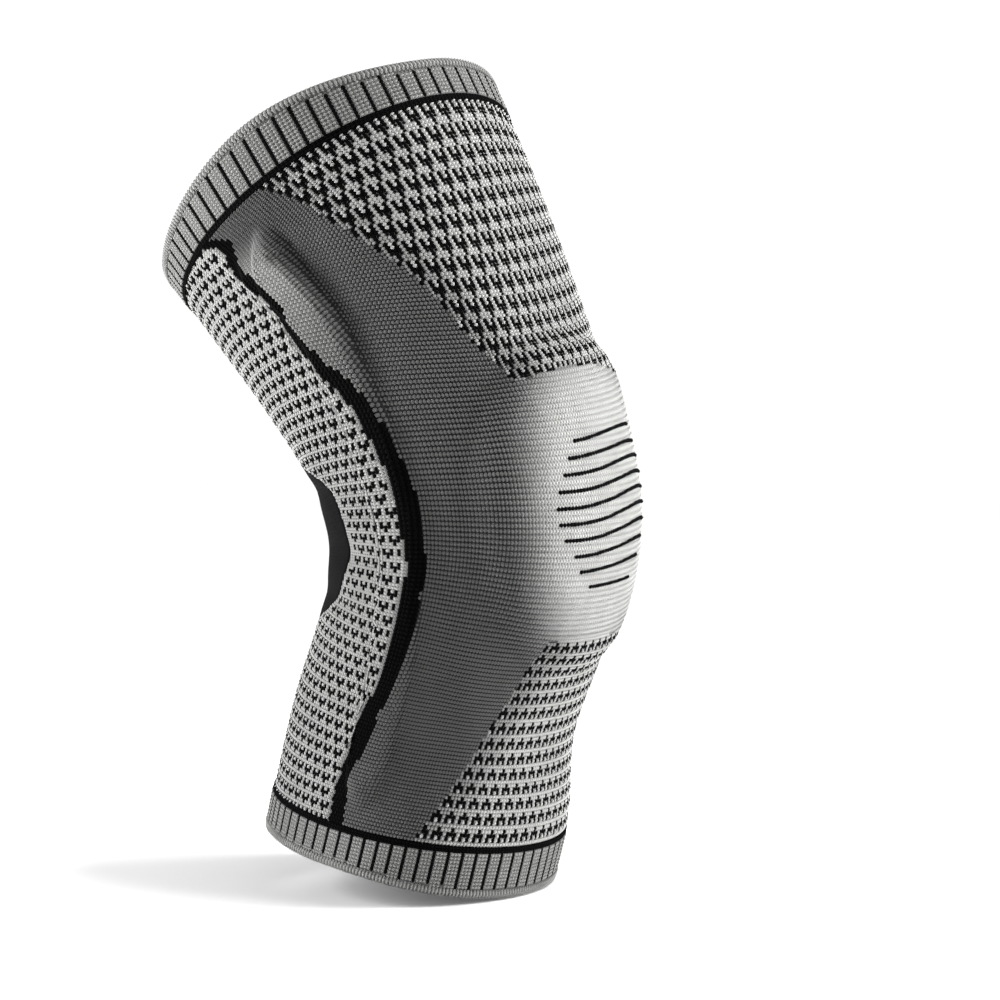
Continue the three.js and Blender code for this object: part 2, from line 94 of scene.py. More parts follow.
# Along and the angle of the black stripe's middle
STRIPE_PATH = [
    (-0.86, 90.5), (-0.77, 91.5), (-0.70, 91), (-0.64, 89), (-0.57, 86), (-0.48, 84),
    (-0.43, 81.5), (-0.34, 79), (-0.22, 77), (-0.14, 76.5), (-0.08, 75), (0.00, 76.5),
    (0.08, 77), (0.13, 78), (0.20, 80.5), (0.25, 82), (0.37, 87.5), (0.41, 91), (0.48, 95),
    (0.55, 98), (0.59, 97), (0.64, 98), (0.70, 101.5), (0.75, 106), (0.79, 106.5), (0.84, 106),
    (0.89, 113.5),
]
# Along and the angle of the stay's middle
STAY_PATH = [
    (-0.66, 84), (-0.48, 83), (-0.34, 82.5), (-0.16, 82), (0.00, 82), (0.13, 84), (0.30, 86),
    (0.41, 87.5), (0.52, 89), (0.62, 92), (0.71, 96),
]
# Along, angle, half length, half width, turn and depth of each crease
FOLDS = [
    (0.71, 112, 0.42, 0.09, 60, 0.50), (0.60, 79, 0.55, 0.10, 85, 0.35),
    (-0.05, 104, 0.40, 0.12, 10, 0.40), (-0.20, 122, 0.45, 0.12, -5, 0.45),
    (0.16, 128, 0.45, 0.12, 15, 0.45), (-0.45, 96, 0.35, 0.11, -35, 0.40),
    (-0.43, 58, 0.50, 0.14, 70, 0.35),
]
print("sections of the leg:", len(SECTIONS), "creases in the knit:", len(FOLDS))


# %% Read the tables at their own sizes
def reach(along):
    return CALF_REACH if along < 0 else THIGH_REACH


def blend_of(a, b, share):
    return a + (b - a) * share


def stations():
    """The leg's sections at their own sizes, in order up the leg."""
    rows = []
    for along, height, setback, tilt, side, front, back in SECTIONS:
        calf = along < 0
        taper = abs(along)
        rows.append((
            along * reach(along),
            height * (-CALF_DROP if calf else THIGH_RISE),
            setback * (CALF_SETBACK if calf else THIGH_SETBACK),
            blend_of(KNEE_TILT, CALF_TILT if calf else THIGH_TILT, tilt),
            side * blend_of(KNEE_HALF_WIDTH, CALF_HALF_WIDTH if calf else THIGH_HALF_WIDTH, taper),
            front * blend_of(KNEE_FRONT, CALF_FRONT if calf else THIGH_FRONT, taper),
            back * blend_of(KNEE_BACK, CALF_BACK if calf else THIGH_BACK, taper),
        ))
    names = ("at", "height", "setback", "tilt", "side", "front", "back")
    return dict(zip(names, np.array(rows, float).T))


def placed(rows):
    return {
        "at": np.array([along * reach(along) for along, _ in rows]),
        "angle": np.array([float(angle) for _, angle in rows]),
    }


STATIONS = stations()
FRONT_EDGE = placed(FRONT_BORDER)
STRIPE = placed(STRIPE_PATH)
STAY = placed(STAY_PATH)
print("sections of the leg at", STATIONS["at"].round(1), "mm from the knee")


# %% One smooth curve through any table
def through(table, column, v):
    """Smooth curve through a table's column, straight beyond its ends."""
    v = np.asarray(v, float)
    at, value = table["at"], table[column]
    slope = np.diff(value) / np.diff(at)
    lean = np.concatenate(([slope[0]], (slope[:-1] + slope[1:]) / 2, [slope[-1]]))
    i = np.clip(np.searchsorted(at, v, side="left") - 1, 0, len(at) - 2)
    step = at[i + 1] - at[i]
    t = (v - at[i]) / step
    inner = np.clip(t, 0, 1)
    start = (1 + 2 * inner) * (1 - inner) ** 2 * value[i]
    start = start + inner * (1 - inner) ** 2 * step * lean[i]
    end = inner ** 2 * (3 - 2 * inner) * value[i + 1]
    end = end + inner ** 2 * (inner - 1) * step * lean[i + 1]
    return start + end + (t - inner) * step * np.where(t < 0, lean[i], lean[i + 1])


print("tilt of the leg at the knee:", float(through(STATIONS, "tilt", 0)), "degrees")


# %% The leg form
def leg_point(u, v):
    turn = np.radians(u)
    tilt = np.radians(through(STATIONS, "tilt", v))
    front = through(STATIONS, "front", v)
    forward = np.cos(turn) * np.where(np.cos(turn) > 0, front, through(STATIONS, "back", v))
    return np.stack([
        -np.sin(turn) * through(STATIONS, "side", v),
        through(STATIONS, "setback", v) - forward * np.cos(tilt),
        through(STATIONS, "height", v) + forward * np.sin(tilt),
    ], axis=-1)


def degree_length(u, v):
    return np.linalg.norm(leg_point(u + 0.5, v) - leg_point(u - 0.5, v), axis=-1)


def fall(distance):
    """1 inside, falling smoothly to 0 over one unit."""
    t = np.clip(distance, 0, 1)
    return 1 - t * t * (3 - 2 * t)


def folded(u):
    """Angle from the kneecap on either side, 0 to 180."""
    return np.abs((np.asarray(u, float) + 540) % 360 - 180)


print("one degree at the side of the knee is", round(float(degree_length(90, 0)), 2), "mm")

# %% [markdown]
# The knit isn't flat on the leg. It is raised over the kneecap ring and over each stay, it puckers
# over a stay's top end, and it creases where the leg bends. Each relief is a smooth height in
# millimetres at u and v, so that all of them simply add up. Relief drawn only in a material would
# leave the outline bare.

# %% Sizes of the relief
RING_HALF_WIDTH = 45
RING_HALF_HEIGHT = 52
RING_MIDDLE = 0.04 * THIGH_REACH
PAD_RISE = 4.5
PAD_MARGIN = 2
PAD_SLOPE = 15
STAY_WIDTH = 6
STAY_TIP = 10
CHANNEL_RISE = 3.6
CHANNEL_MARGIN = 2
CHANNEL_SLOPE = 4.4
CHANNEL_TAPER = 0.35
POCKET_FOOT = 45
POCKET_TOP = 104
POCKET_END = 18
POCKET_EDGE = 5
POCKET_FRONT = 9.5
POCKET_REAR = 9
POCKET_RISE = 4.3
VALLEY_AHEAD = 1
VALLEY_WIDTH = 3.6
VALLEY_DEPTH = 2.4
# Half the length over which the stretch of the kneecap's skin is measured
SPREAD_STEP = 10
UPPER_SPOT = leg_point(0, RING_MIDDLE + SPREAD_STEP)
LOWER_SPOT = leg_point(0, RING_MIDDLE - SPREAD_STEP)
KNEE_SPREAD = float(np.linalg.norm(UPPER_SPOT - LOWER_SPOT)) / (2 * SPREAD_STEP)
print("skin over the kneecap is", round(KNEE_SPREAD, 2), "times as long as the leg's middle")


# %% Relief over the ring and the stays
def pad_rise(side, v):
    across = np.radians(side) * KNEE_FRONT / RING_HALF_WIDTH
    up = (v - RING_MIDDLE) * KNEE_SPREAD / RING_HALF_HEIGHT
    out = (np.hypot(across, up) - 1) * RING_HALF_WIDTH
    return PAD_RISE * fall((out - PAD_MARGIN) / PAD_SLOPE)


def off_stay(side, v, tip=0):
    """Distance round the leg from a stay, and along the leg past its ends less a tip."""
    nearest = np.clip(v, STAY["at"][0] + tip, STAY["at"][-1] - tip)
    return (side - through(STAY, "angle", nearest)) * degree_length(side, v), v - nearest


def channel_rise(side, v):
    across, past = off_stay(side, v, STAY_TIP)
    away = np.hypot(across, past * CHANNEL_TAPER)
    return CHANNEL_RISE * fall((away - STAY_WIDTH / 2 - CHANNEL_MARGIN) / CHANNEL_SLOPE)


def pocket_rise(side, v):
    """Pucker of the knit over the top end of a stay, with a valley along its front."""
    across, _ = off_stay(side, v)
    grown = np.clip((v - POCKET_FOOT) / (POCKET_TOP - POCKET_FOOT), 0, 1)
    top = fall((v - POCKET_TOP) / POCKET_END) * grown
    raised = 1 - fall((across + POCKET_FRONT) / POCKET_EDGE)
    raised = raised * fall((across - POCKET_REAR) / POCKET_EDGE)
    valley = np.exp(-((across + POCKET_FRONT + VALLEY_AHEAD) / VALLEY_WIDTH) ** 2)
    return top * (POCKET_RISE * raised - VALLEY_DEPTH * valley)


print("relief at the kneecap:", float(pad_rise(0, RING_MIDDLE)), "mm")


# %% Creases, and the skin of the sleeve
def fold_depth(side, v):
    depth = 0
    for along, angle, length, width, turn, deep in FOLDS:
        across = (side - angle) * degree_length(side, v)
        up = v - along * reach(along)
        c, s = math.cos(math.radians(turn)), math.sin(math.radians(turn))
        run = (across * c + up * s) / (length * KNEE_HALF_WIDTH)
        off = (up * c - across * s) / (width * KNEE_HALF_WIDTH)
        depth = depth + deep * CHANNEL_RISE * np.exp(-run ** 2 - off ** 2)
    return depth


# Small step in u and v from which the way outwards is found
SKIN_STEP = 0.2


def skin(u, v, depth):
    """Point of the sleeve, in millimetres, a depth under the outer face of the knit."""
    u, v = np.broadcast_arrays(np.asarray(u, float), np.asarray(v, float))
    around = leg_point(u + SKIN_STEP, v) - leg_point(u - SKIN_STEP, v)
    upward = leg_point(u, v + SKIN_STEP) - leg_point(u, v - SKIN_STEP)
    outward = np.cross(upward, around)
    outward = outward / np.linalg.norm(outward, axis=-1, keepdims=True)
    side = folded(u)
    rise = pad_rise(side, v) + channel_rise(side, v) + pocket_rise(side, v)
    rise = rise - fold_depth(side, v) - depth
    return leg_point(u, v) + outward * rise[..., None]


print("outermost point of the kneecap, in mm:", skin(0, RING_MIDDLE, 0).round(1))

# %% [markdown]
# The zones differ in yarn and stitch: light fronts with black figures, grey mesh sides, black
# stripes, a light back with a dark oval in the knee's hollow, and a narrow black band inside each
# cuff. Their borders are the same as in the solids, so every zone lies where its solid does.

# %% Where the zones begin and end
THIGH_CUFF_HEIGHT = 14.5
CALF_CUFF_HEIGHT = 17
BAND_WIDTH = 3.4
STRIPE_WIDTH = 6
WALL = 2
# Yarn of the zones and the cuffs laps over both edges of a black band, which leaves it narrow
BAND_LAP = 0.5
BAND_TOP = THIGH_REACH - THIGH_CUFF_HEIGHT - BAND_LAP
BODY_TOP = BAND_TOP - BAND_WIDTH + 2 * BAND_LAP
CALF_BAND = CALF_CUFF_HEIGHT - CALF_REACH + BAND_LAP
BODY_BOTTOM = CALF_BAND + BAND_WIDTH - 2 * BAND_LAP
PATELLA_FLOOR = -0.23 * CALF_REACH
PATELLA_CEILING = 0.25 * THIGH_REACH
FLOOR_RISE = 0.01 * THIGH_REACH
CEILING_RISE = 0.015 * THIGH_REACH
# The oval behind the knee. Its solid is cut blunt at the end angle, and here it closes in a curve
HOLLOW_HALF_WIDTH = 66
HOLLOW_HALF_HEIGHT = 46
HOLLOW_END = 80
HOLLOW_ANGLE = math.degrees(HOLLOW_HALF_WIDTH / ((KNEE_HALF_WIDTH + KNEE_BACK) / 2))
HOLLOW_HEIGHT = HOLLOW_HALF_HEIGHT / math.sin(math.radians(HOLLOW_END))
print("zones from", round(BODY_BOTTOM, 1), "to", round(BODY_TOP, 1), "mm along the leg")


# %% Borders of the zones
def front_border(v):
    return through(FRONT_EDGE, "angle", v)


def stripe_half(v):
    """Half the stripe's width in degrees."""
    return STRIPE_WIDTH / 2 / degree_length(through(STRIPE, "angle", v), v)


def stripe_front(v):
    return through(STRIPE, "angle", v) - stripe_half(v)


def stripe_back(v):
    return through(STRIPE, "angle", v) + stripe_half(v)


def hollow_half(v):
    """Half angle of the dark oval behind the knee at a length v."""
    return HOLLOW_ANGLE * np.sqrt(np.clip(1 - (v / HOLLOW_HEIGHT) ** 2, 0, 1))


print("stripe at the knee:", round(float(stripe_front(0)), 1), "to", round(float(stripe_back(0)), 1))

# %% [markdown]
# Knit has two directions. Wales are the columns of loops that run up the leg, and courses are the
# rows that run round it. The machine has a fixed number of needles, so the number of wales is the
# same everywhere and the fabric stretches between them. Over a bent knee the courses open up in
# front and crowd together behind, and the wales lean towards the kneecap. Straight rows would look
# like a printed tube, so both leans are modelled.

# %% Wales
NEEDLES = 272
WALE = 360 / NEEDLES
KNEE_GATHER = 11
KNEE_TWIST = 7
THIGH_SPREAD = 7.4
CALF_SPREAD = 2


def wale_angle(w, v):
    """Angle round the leg of wale angle w at a length v."""
    near = np.cos(np.pi / 2 * np.clip(v / np.where(v < 0, BODY_BOTTOM, BODY_TOP), 0, 1))
    spread = np.where(v < 0, CALF_SPREAD, THIGH_SPREAD)
    lean = spread - (KNEE_GATHER + spread) * near
    return w + lean * np.sin(np.radians(w)) - KNEE_TWIST * near


print("wales every", round(WALE, 3), "degrees,", round(WALE * float(degree_length(0, 0)), 2), "mm")

# %% Courses of the front and the sides
# Levels v and how steeply the courses climb there, as a share of the steepest
CLIMB = [
    (-104, 0), (-60, 0.05), (-30, 0.2), (0, 0.25), (15, 0.33), (30, 0.55), (45, 0.78), (60, 0.95),
    (80, 1.0), (97, 0.95), (110, 0.75), (120, 0.4), (132, 0),
]
LOWEST_ANGLE = 20
STEEP = 0.30
STEEP_TWICE = 0.15
LEVEL_STEPS = 236
LEVELS = np.linspace(BODY_BOTTOM, BODY_TOP, LEVEL_STEPS + 1)


def course_paths():
    """Level of each course at every degree from the angle where the courses are lowest."""
    level = LEVELS.copy()
    at, climb = np.array(CLIMB, float).T
    paths = [level.copy()]
    for degree in range(180):
        x = math.radians(degree + 0.5)
        slope = STEEP * math.sin(x) + STEEP_TWICE * math.sin(2 * x)
        level = level + np.interp(level, at, climb) * slope
        paths.append(level.copy())
    return np.array(paths)


COURSE_PATHS = course_paths()


def course_level(u, low):
    """Length v at angle u of the course that has the length low where the courses are lowest."""
    turn = folded(np.asarray(u, float) - LOWEST_ANGLE)
    i = np.clip(turn.astype(int), 0, 179)
    rank = np.clip((low - BODY_BOTTOM) / (BODY_TOP - BODY_BOTTOM), 0, 1) * LEVEL_STEPS
    j = np.clip(rank.astype(int), 0, LEVEL_STEPS - 1)
    a, b = turn - i, rank - j
    near = COURSE_PATHS[i, j] * (1 - b) + COURSE_PATHS[i, j + 1] * b
    far = COURSE_PATHS[i + 1, j] * (1 - b) + COURSE_PATHS[i + 1, j + 1] * b
    return near * (1 - a) + far * a


print("a course at 60 mm in front is at", round(float(course_level(90, np.array(60.0))), 1), "beside")

# %% Courses of the back
# Levels v behind the knee and how much the courses climb there in a degree
BACK_CLIMB = [
    (-104, -0.03), (-75, 0), (-45, 0.04), (-15, 0.07), (15, 0.09), (30, 0.14), (45, 0.19),
    (60, 0.21), (75, 0.23), (90, 0.25), (132, 0.25),
]
BACK_ANGLE = 110
BACK_ARC = 45
PLACE_ROUNDS = 4


def back_level(u, middle):
    """Length v at angle u of the course that has the length middle beside the stripe."""
    at, climb = np.array(BACK_CLIMB, float).T
    turn = np.radians((folded(u) - BACK_ANGLE) * 90 / (180 - BACK_ANGLE))
    return middle + np.interp(middle, at, climb) * BACK_ARC * np.sin(turn)


def knit_place(w, level, level_of=course_level):
    """Angle u and length v of the loop on wale angle w of a course."""
    u = w
    for _ in range(PLACE_ROUNDS):
        v = level_of(u, level)
        u = wale_angle(w, v)
    return u, v


print("a course at 60 mm beside is at", round(float(back_level(180, 60)), 1), "behind")

# %% [markdown]
# Materials start from what the yarn is. Polyamide and polyester yarns scatter light among their
# fibres, so they are rough and dull, with a little sheen at the edges. A picture of cloth could give
# this, but it would blur up close and slide on stretched knit. Fine noise for the fibres and real
# loops for the stitches hold at every distance. Each scale comes from a size in millimetres.

# %% Material helpers
def linear(code):
    """A colour such as 'c8c8c6' as linear red, green, blue and alpha."""
    shares = [int(code[i:i + 2], 16) / 255 for i in (0, 2, 4)]
    return [s / 12.92 if s <= 0.04045 else ((s + 0.055) / 1.055) ** 2.4 for s in shares] + [1]


def grow(tree, kind, links=None, **settings):
    """Adds one node, with its settings and its linked or fixed inputs."""
    made = tree.nodes.new(kind)
    for key, value in settings.items():
        setattr(made, key, value)
    for key, value in (links or {}).items():
        if isinstance(value, bpy.types.NodeSocket):
            tree.links.new(value, made.inputs[key])
        else:
            made.inputs[key].default_value = value
    return made


def blank_material(name):
    material = bpy.data.materials.new(name)
    material.use_nodes = True
    material.node_tree.nodes.clear()
    return material, material.node_tree


print("mid grey is", round(linear("808080")[0], 3), "in linear light")

# %% Yarn material
# Fibres of 0.35 mm are coarser than the real ones, so that they show. The mottle is uneven dye.
FIBRE = 0.35 * MM
FIBRE_RELIEF = 0.15 * MM
MOTTLE = 9 * MM
YARN_GLOSS = 0.12
BLACK_GLOSS = 0.03
SHEEN_ROUGHNESS = 0.5
# Share of its colour that yarn keeps in its darkest dye spots, and a ground in the painted shade of its
# grooves
YARN_SHADE = 0.8
GROUND_SHADE = 0.55


def tinted(tree, share, colour, pale, shade):
    """Yarn colour, pale where the tone is 1 and darkened where the share is 0.
    The share is uneven dye on a yarn, and painted shade in the grooves of a ground.
    """
    tone = grow(tree, "ShaderNodeAttribute", attribute_name="tone").outputs["Fac"]
    ends = {0: tone, 6: linear(colour), 7: linear(pale)}
    mixed = grow(tree, "ShaderNodeMix", ends, data_type="RGBA")
    dim = grow(tree, "ShaderNodeMapRange", {0: share, 1: 0.0, 2: 1.0, 3: shade, 4: 1.0})
    parts = {0: mixed.outputs[2], "Scale": dim.outputs[0]}
    return grow(tree, "ShaderNodeVectorMath", parts, operation="SCALE").outputs[0]


def yarn_material(name, colour, pale, roughness, sheen, gloss=YARN_GLOSS):
    """Loops of textured yarn: the eye gets dull, slightly uneven beads with soft edges."""
    material, tree = blank_material(name)
    place = grow(tree, "ShaderNodeTexCoord").outputs["Object"]
    mottle = grow(tree, "ShaderNodeTexNoise", {"Vector": place, "Scale": 1 / MOTTLE, "Detail": 3.0})
    fibre = grow(tree, "ShaderNodeTexNoise", {"Vector": place, "Scale": 1 / FIBRE, "Detail": 2.0})
    both = {0: mottle.outputs["Fac"], 1: fibre.outputs["Fac"]}
    mixed = grow(tree, "ShaderNodeMath", both, operation="ADD").outputs[0]
    share = grow(tree, "ShaderNodeMapRange", {0: mixed, 1: 0.7, 2: 1.3, 3: 0.0, 4: 1.0}).outputs[0]
    bump = grow(tree, "ShaderNodeBump", {
        "Strength": 0.35, "Distance": FIBRE_RELIEF, "Height": fibre.outputs["Fac"]})
    shader = grow(tree, "ShaderNodeBsdfPrincipled", {
        "Base Color": tinted(tree, share, colour, pale, YARN_SHADE), "Roughness": roughness,
        "Sheen Weight": sheen, "Sheen Roughness": SHEEN_ROUGHNESS, "Specular IOR Level": gloss,
        "Normal": bump.outputs[0]})
    grow(tree, "ShaderNodeOutputMaterial", {"Surface": shader.outputs[0]})
    return material


print("fibre noise every", FIBRE / MM, "mm, mottle every", round(MOTTLE / MM, 1), "mm")

# %% [markdown]
# Between and behind the loops the eye sees the ground of the knit, small V stitches in shade. They
# are too fine and too hidden for geometry, so they are bump and painted shade, drawn in a map that
# counts stitches across and up: the grooves between the arms of each V are painted darker.

# %% Ground material
# How far an arm of the V rises in half a stitch, and how deep the groove between arms is,
# in bump and in painted shade
V_SLANT = 1.2
V_GROOVE = -3.0
V_RELIEF = 0.3 * MM


def ground_material(name, colour, pale, roughness, strength=0.8, gloss=YARN_GLOSS):
    """The knit behind the loops: V stitches drawn in the piece's own knit map.
    Their grooves are painted darker, as shade.
    """
    material, tree = blank_material(name)
    knit_map = grow(tree, "ShaderNodeUVMap", uv_map="knit").outputs[0]
    axes = grow(tree, "ShaderNodeSeparateXYZ", {0: knit_map})
    across = grow(tree, "ShaderNodeMath", {0: axes.outputs[0]}, operation="FRACT").outputs[0]
    centred = grow(tree, "ShaderNodeMath", {0: across, 1: 0.5}, operation="SUBTRACT").outputs[0]
    arm = grow(tree, "ShaderNodeMath", {0: centred}, operation="ABSOLUTE").outputs[0]
    steps = {0: arm, 1: V_SLANT, 2: axes.outputs[1]}
    slant = grow(tree, "ShaderNodeMath", steps, operation="MULTIPLY_ADD").outputs[0]
    turn = grow(tree, "ShaderNodeMath", {0: slant, 1: 2 * math.pi}, operation="MULTIPLY").outputs[0]
    wave = grow(tree, "ShaderNodeMath", {0: turn}, operation="SINE").outputs[0]
    deep = {0: arm, 1: V_GROOVE, 2: wave}
    groove = grow(tree, "ShaderNodeMath", deep, operation="MULTIPLY_ADD").outputs[0]
    share = grow(tree, "ShaderNodeMapRange", {0: groove, 1: -2.2, 2: 0.8, 3: 0.0, 4: 1.0}).outputs[0]
    bump = grow(tree, "ShaderNodeBump", {"Strength": strength, "Distance": V_RELIEF, "Height": share})
    # Painted shade: the ground's colour darkens in the grooves of its V stitches.
    shader = grow(tree, "ShaderNodeBsdfPrincipled", {
        "Base Color": tinted(tree, share, colour, pale, GROUND_SHADE), "Roughness": roughness,
        "Specular IOR Level": gloss, "Normal": bump.outputs[0]})
    grow(tree, "ShaderNodeOutputMaterial", {"Surface": shader.outputs[0]})
    return material


print("one V is a wale wide and leans", V_SLANT / 2, "of a course")

# %% Yarns and grounds of this sleeve
LIGHT_YARN = yarn_material("light polyamide yarn, knitted", "747473", "b0b0ae", 0.85, 0.12)
CUFF_YARN = yarn_material("light covered elastane yarn, knitted", "8e8e8c", "9e9e9c", 0.85, 0.12)
MESH_YARN = yarn_material("grey melange yarn, tuck knitted", "646463", "b2b2b0", 0.85, 0.1)
BLACK_YARN = yarn_material(
    "black polyamide yarn, knitted", "070707", "0c0c0c", 0.8, 0.0, BLACK_GLOSS)
# The grounds are coloured darker than their yarns: painted shade in the gaps between and behind the
# loops. The mesh ground is also dark plaited yarn.
LIGHT_GROUND_IN_PAINTED_SHADE = ground_material("light jersey ground, knitted, in painted shade", "121212", "848483", 0.9)
CUFF_GROUND_IN_PAINTED_SHADE = ground_material("light doubled cuff ground, knitted, in painted shade", "6c6c6b", "8c8c8b", 0.9)
MESH_GROUND_DARK_AND_SHADED = ground_material("dark plaited ground, knitted, with painted shade", "2e2e2e", "8e8e8d", 0.9)
BLACK_GROUND = ground_material(
    "black ground, knitted", "050505", "0a0a0a", 0.85, gloss=BLACK_GLOSS)
DARK_GROUND = ground_material(
    "dark fine ground, knitted", "101011", "161617", 0.85, 0.4, BLACK_GLOSS)
print("materials so far:", len(bpy.data.materials))

# %% [markdown]
# The kneecap ring is moulded silicone, milky, with light passing a little way in and a soft gloss.
# The stays are flat springs of galvanised wire, so they are metal with fine streaks of roughness.

# %% Silicone and spring steel
CLOUD = 14 * MM
STREAK = 0.6 * MM


def silicone_material():
    """Moulded silicone: the eye gets a milky body, light a little way in and a soft gloss."""
    material, tree = blank_material("translucent silicone, moulded")
    place = grow(tree, "ShaderNodeTexCoord").outputs["Object"]
    cloud = grow(tree, "ShaderNodeTexNoise", {"Vector": place, "Scale": 1 / CLOUD, "Detail": 2.0})
    haze = cloud.outputs["Fac"]
    ends = {0: haze, 6: linear("c6c4ce"), 7: linear("dad8e2")}
    colour = grow(tree, "ShaderNodeMix", ends, data_type="RGBA")
    bump = grow(tree, "ShaderNodeBump", {"Strength": 0.1, "Distance": 0.1 * MM, "Height": haze})
    shader = grow(tree, "ShaderNodeBsdfPrincipled", {
        "Base Color": colour.outputs[2], "Roughness": 0.28, "IOR": 1.41,
        "Subsurface Weight": 0.3, "Subsurface Scale": 3 * MM, "Normal": bump.outputs[0]})
    grow(tree, "ShaderNodeOutputMaterial", {"Surface": shader.outputs[0]})
    return material


def steel_material():
    """Galvanised spring wire, drawn and flattened: the eye gets dull grey metal, finely streaked."""
    material, tree = blank_material("galvanised spring steel, drawn")
    place = grow(tree, "ShaderNodeTexCoord").outputs["Object"]
    streak = grow(tree, "ShaderNodeTexNoise", {"Vector": place, "Scale": 1 / STREAK, "Detail": 3.0})
    line = streak.outputs["Fac"]
    rough = grow(tree, "ShaderNodeMapRange", {0: line, 1: 0.3, 2: 0.7, 3: 0.3, 4: 0.5})
    ends = {0: line, 6: linear("85878a"), 7: linear("a9abad")}
    colour = grow(tree, "ShaderNodeMix", ends, data_type="RGBA")
    shader = grow(tree, "ShaderNodeBsdfPrincipled", {
        "Base Color": colour.outputs[2], "Roughness": rough.outputs[0], "Metallic": 1.0})
    grow(tree, "ShaderNodeOutputMaterial", {"Surface": shader.outputs[0]})
    return material


SILICONE = silicone_material()
SPRING_STEEL = steel_material()
print("materials:", len(bpy.data.materials))

# %% [markdown]
# Each zone has a wall, the fabric itself, under its loops, which in the light zones is coloured
# darker than the loops as painted shade. The wall is a sheet with an outer face, an inner face and
# closed edges, built straight from arrays, because its grid follows the zone's borders. Its points
# carry a tone, from dark mesh to pale kneecap, and a map in stitches.

# %% Tone and grids of a wall
GROUND_DEPTH = 0.35
STITCH_UP = 1.5
# Half angle and half length of the pale kneecap, and the share of them where it starts to fade
PALE_ANGLE = 50
PALE_LENGTH = 58
PALE_START = 0.45
PALE_FADE = 0.5


def tone_of(u, v):
    """1 on the pale kneecap, fading to 0 in the mesh round it."""
    out = np.hypot(folded(u) / PALE_ANGLE, (v - RING_MIDDLE) / PALE_LENGTH)
    return fall((out - PALE_START) / PALE_FADE)


def strip_grid(levels, start, end, columns):
    """Grid between two borders, given as functions of the level."""
    shares = np.linspace(0, 1, columns + 1)
    low, high = start(levels)[:, None], end(levels)[:, None]
    return low + (high - low) * shares, np.repeat(levels[:, None], columns + 1, 1)


def front_grid(low, high, low_rise, high_rise, rows, columns):
    """Grid of a front zone, whose edges rise in the middle."""
    across = np.linspace(-1, 1, columns + 1)
    levels = np.linspace(low, high, rows + 1)
    edge_rise = blend_of(low_rise, high_rise, np.linspace(0, 1, rows + 1))[:, None]
    rise = edge_rise * (1 - across ** 2)
    return front_border(levels)[:, None] * across, levels[:, None] + rise


print("tone at the kneecap and beside it:", tone_of(np.array([0, 40.0]), np.array([0, 0.0])).round(2))


# %% Closed walls
def grid_faces(rows, columns, start, flip):
    index = start + np.arange(rows * columns).reshape(rows, columns)
    corners = [index[:-1, :-1], index[1:, :-1], index[1:, 1:], index[:-1, 1:]]
    quads = np.stack(corners, -1).reshape(-1, 4)
    return quads[:, ::-1] if flip else quads


def wall_parts(u, v, outer=GROUND_DEPTH, inner=WALL, tone=tone_of):
    """Points, faces, smooth flags, knit map and tones of a closed sheet on the grid of u and v."""
    rows, columns = u.shape
    total = rows * columns
    points = np.concatenate([skin(u, v, outer).reshape(-1, 3), skin(u, v, inner).reshape(-1, 3)])
    places = np.stack([u / WALE, v / STITCH_UP], -1).reshape(-1, 2)
    index = np.arange(total).reshape(rows, columns)
    edges = ((index[:, 0], False), (index[:, -1], True), (index[0], True), (index[-1], False))
    rims = []
    for edge, turned in edges:
        strip = np.stack([edge[:-1], edge[:-1] + total, edge[1:] + total, edge[1:]], -1)
        rims.append(strip[:, ::-1] if turned else strip)
    flat = np.concatenate(rims)
    outside = grid_faces(rows, columns, 0, False)
    inside = grid_faces(rows, columns, total, True)
    faces = np.concatenate([outside, inside, flat])
    smooth = np.arange(len(faces)) < len(faces) - len(flat)
    turns = np.tile(u.reshape(-1), 2)
    levels = np.tile(v.reshape(-1), 2)
    return points, faces, smooth, np.tile(places, (2, 1)), tone(turns, levels)


print("walls are", WALL - GROUND_DEPTH, "mm thick under the loops")

# %% [markdown]
# A loop of yarn shows as a small pillow: high in its middle, lower at its edges, sunk at its
# corners. A true loop of tube would need hundreds of faces, and there are tens of thousands of
# them, so 14 triangles must do.

# %% One loop of yarn
# Height and inward pull of the pillow's middle, sides and corners
PILLOW = [(1.0, 1.0), (0.3, 1.0), (-0.25, 0.86)]


def loop_shape():
    """Closed pillow, one unit wide, long and high."""
    spots = [(x, y) for y in (-0.5, 0, 0.5) for x in (-0.5, 0, 0.5)]
    points = []
    for x, y in spots:
        height, pull = PILLOW[(x != 0) + (y != 0)]
        points.append((x * pull, y * pull, height))
    top = [(0, 1, 4), (0, 4, 3), (1, 2, 4), (2, 5, 4), (3, 4, 6), (4, 7, 6), (4, 5, 8), (4, 8, 7)]
    bottom = [(0, 3, 6, 7, 8, 5, 2, 1)]
    mesh = bpy.data.meshes.new("loop")
    mesh.from_pydata(points, [], top + bottom)
    mesh.shade_smooth()
    return bpy.data.objects.new("loop", mesh)


LOOP = loop_shape()
bpy.context.scene.collection.objects.link(LOOP)
print("faces of a loop:", len(LOOP.data.polygons))

# %% [markdown]
# Geometry Nodes put one loop on each point of a chart, turned to the surface and scaled to the
# stretch of the fabric there. One tree knits every zone. Its inputs are the loop, its rise and the
# two yarns, and each point says which yarn it takes. Realize Instances makes them one mesh.

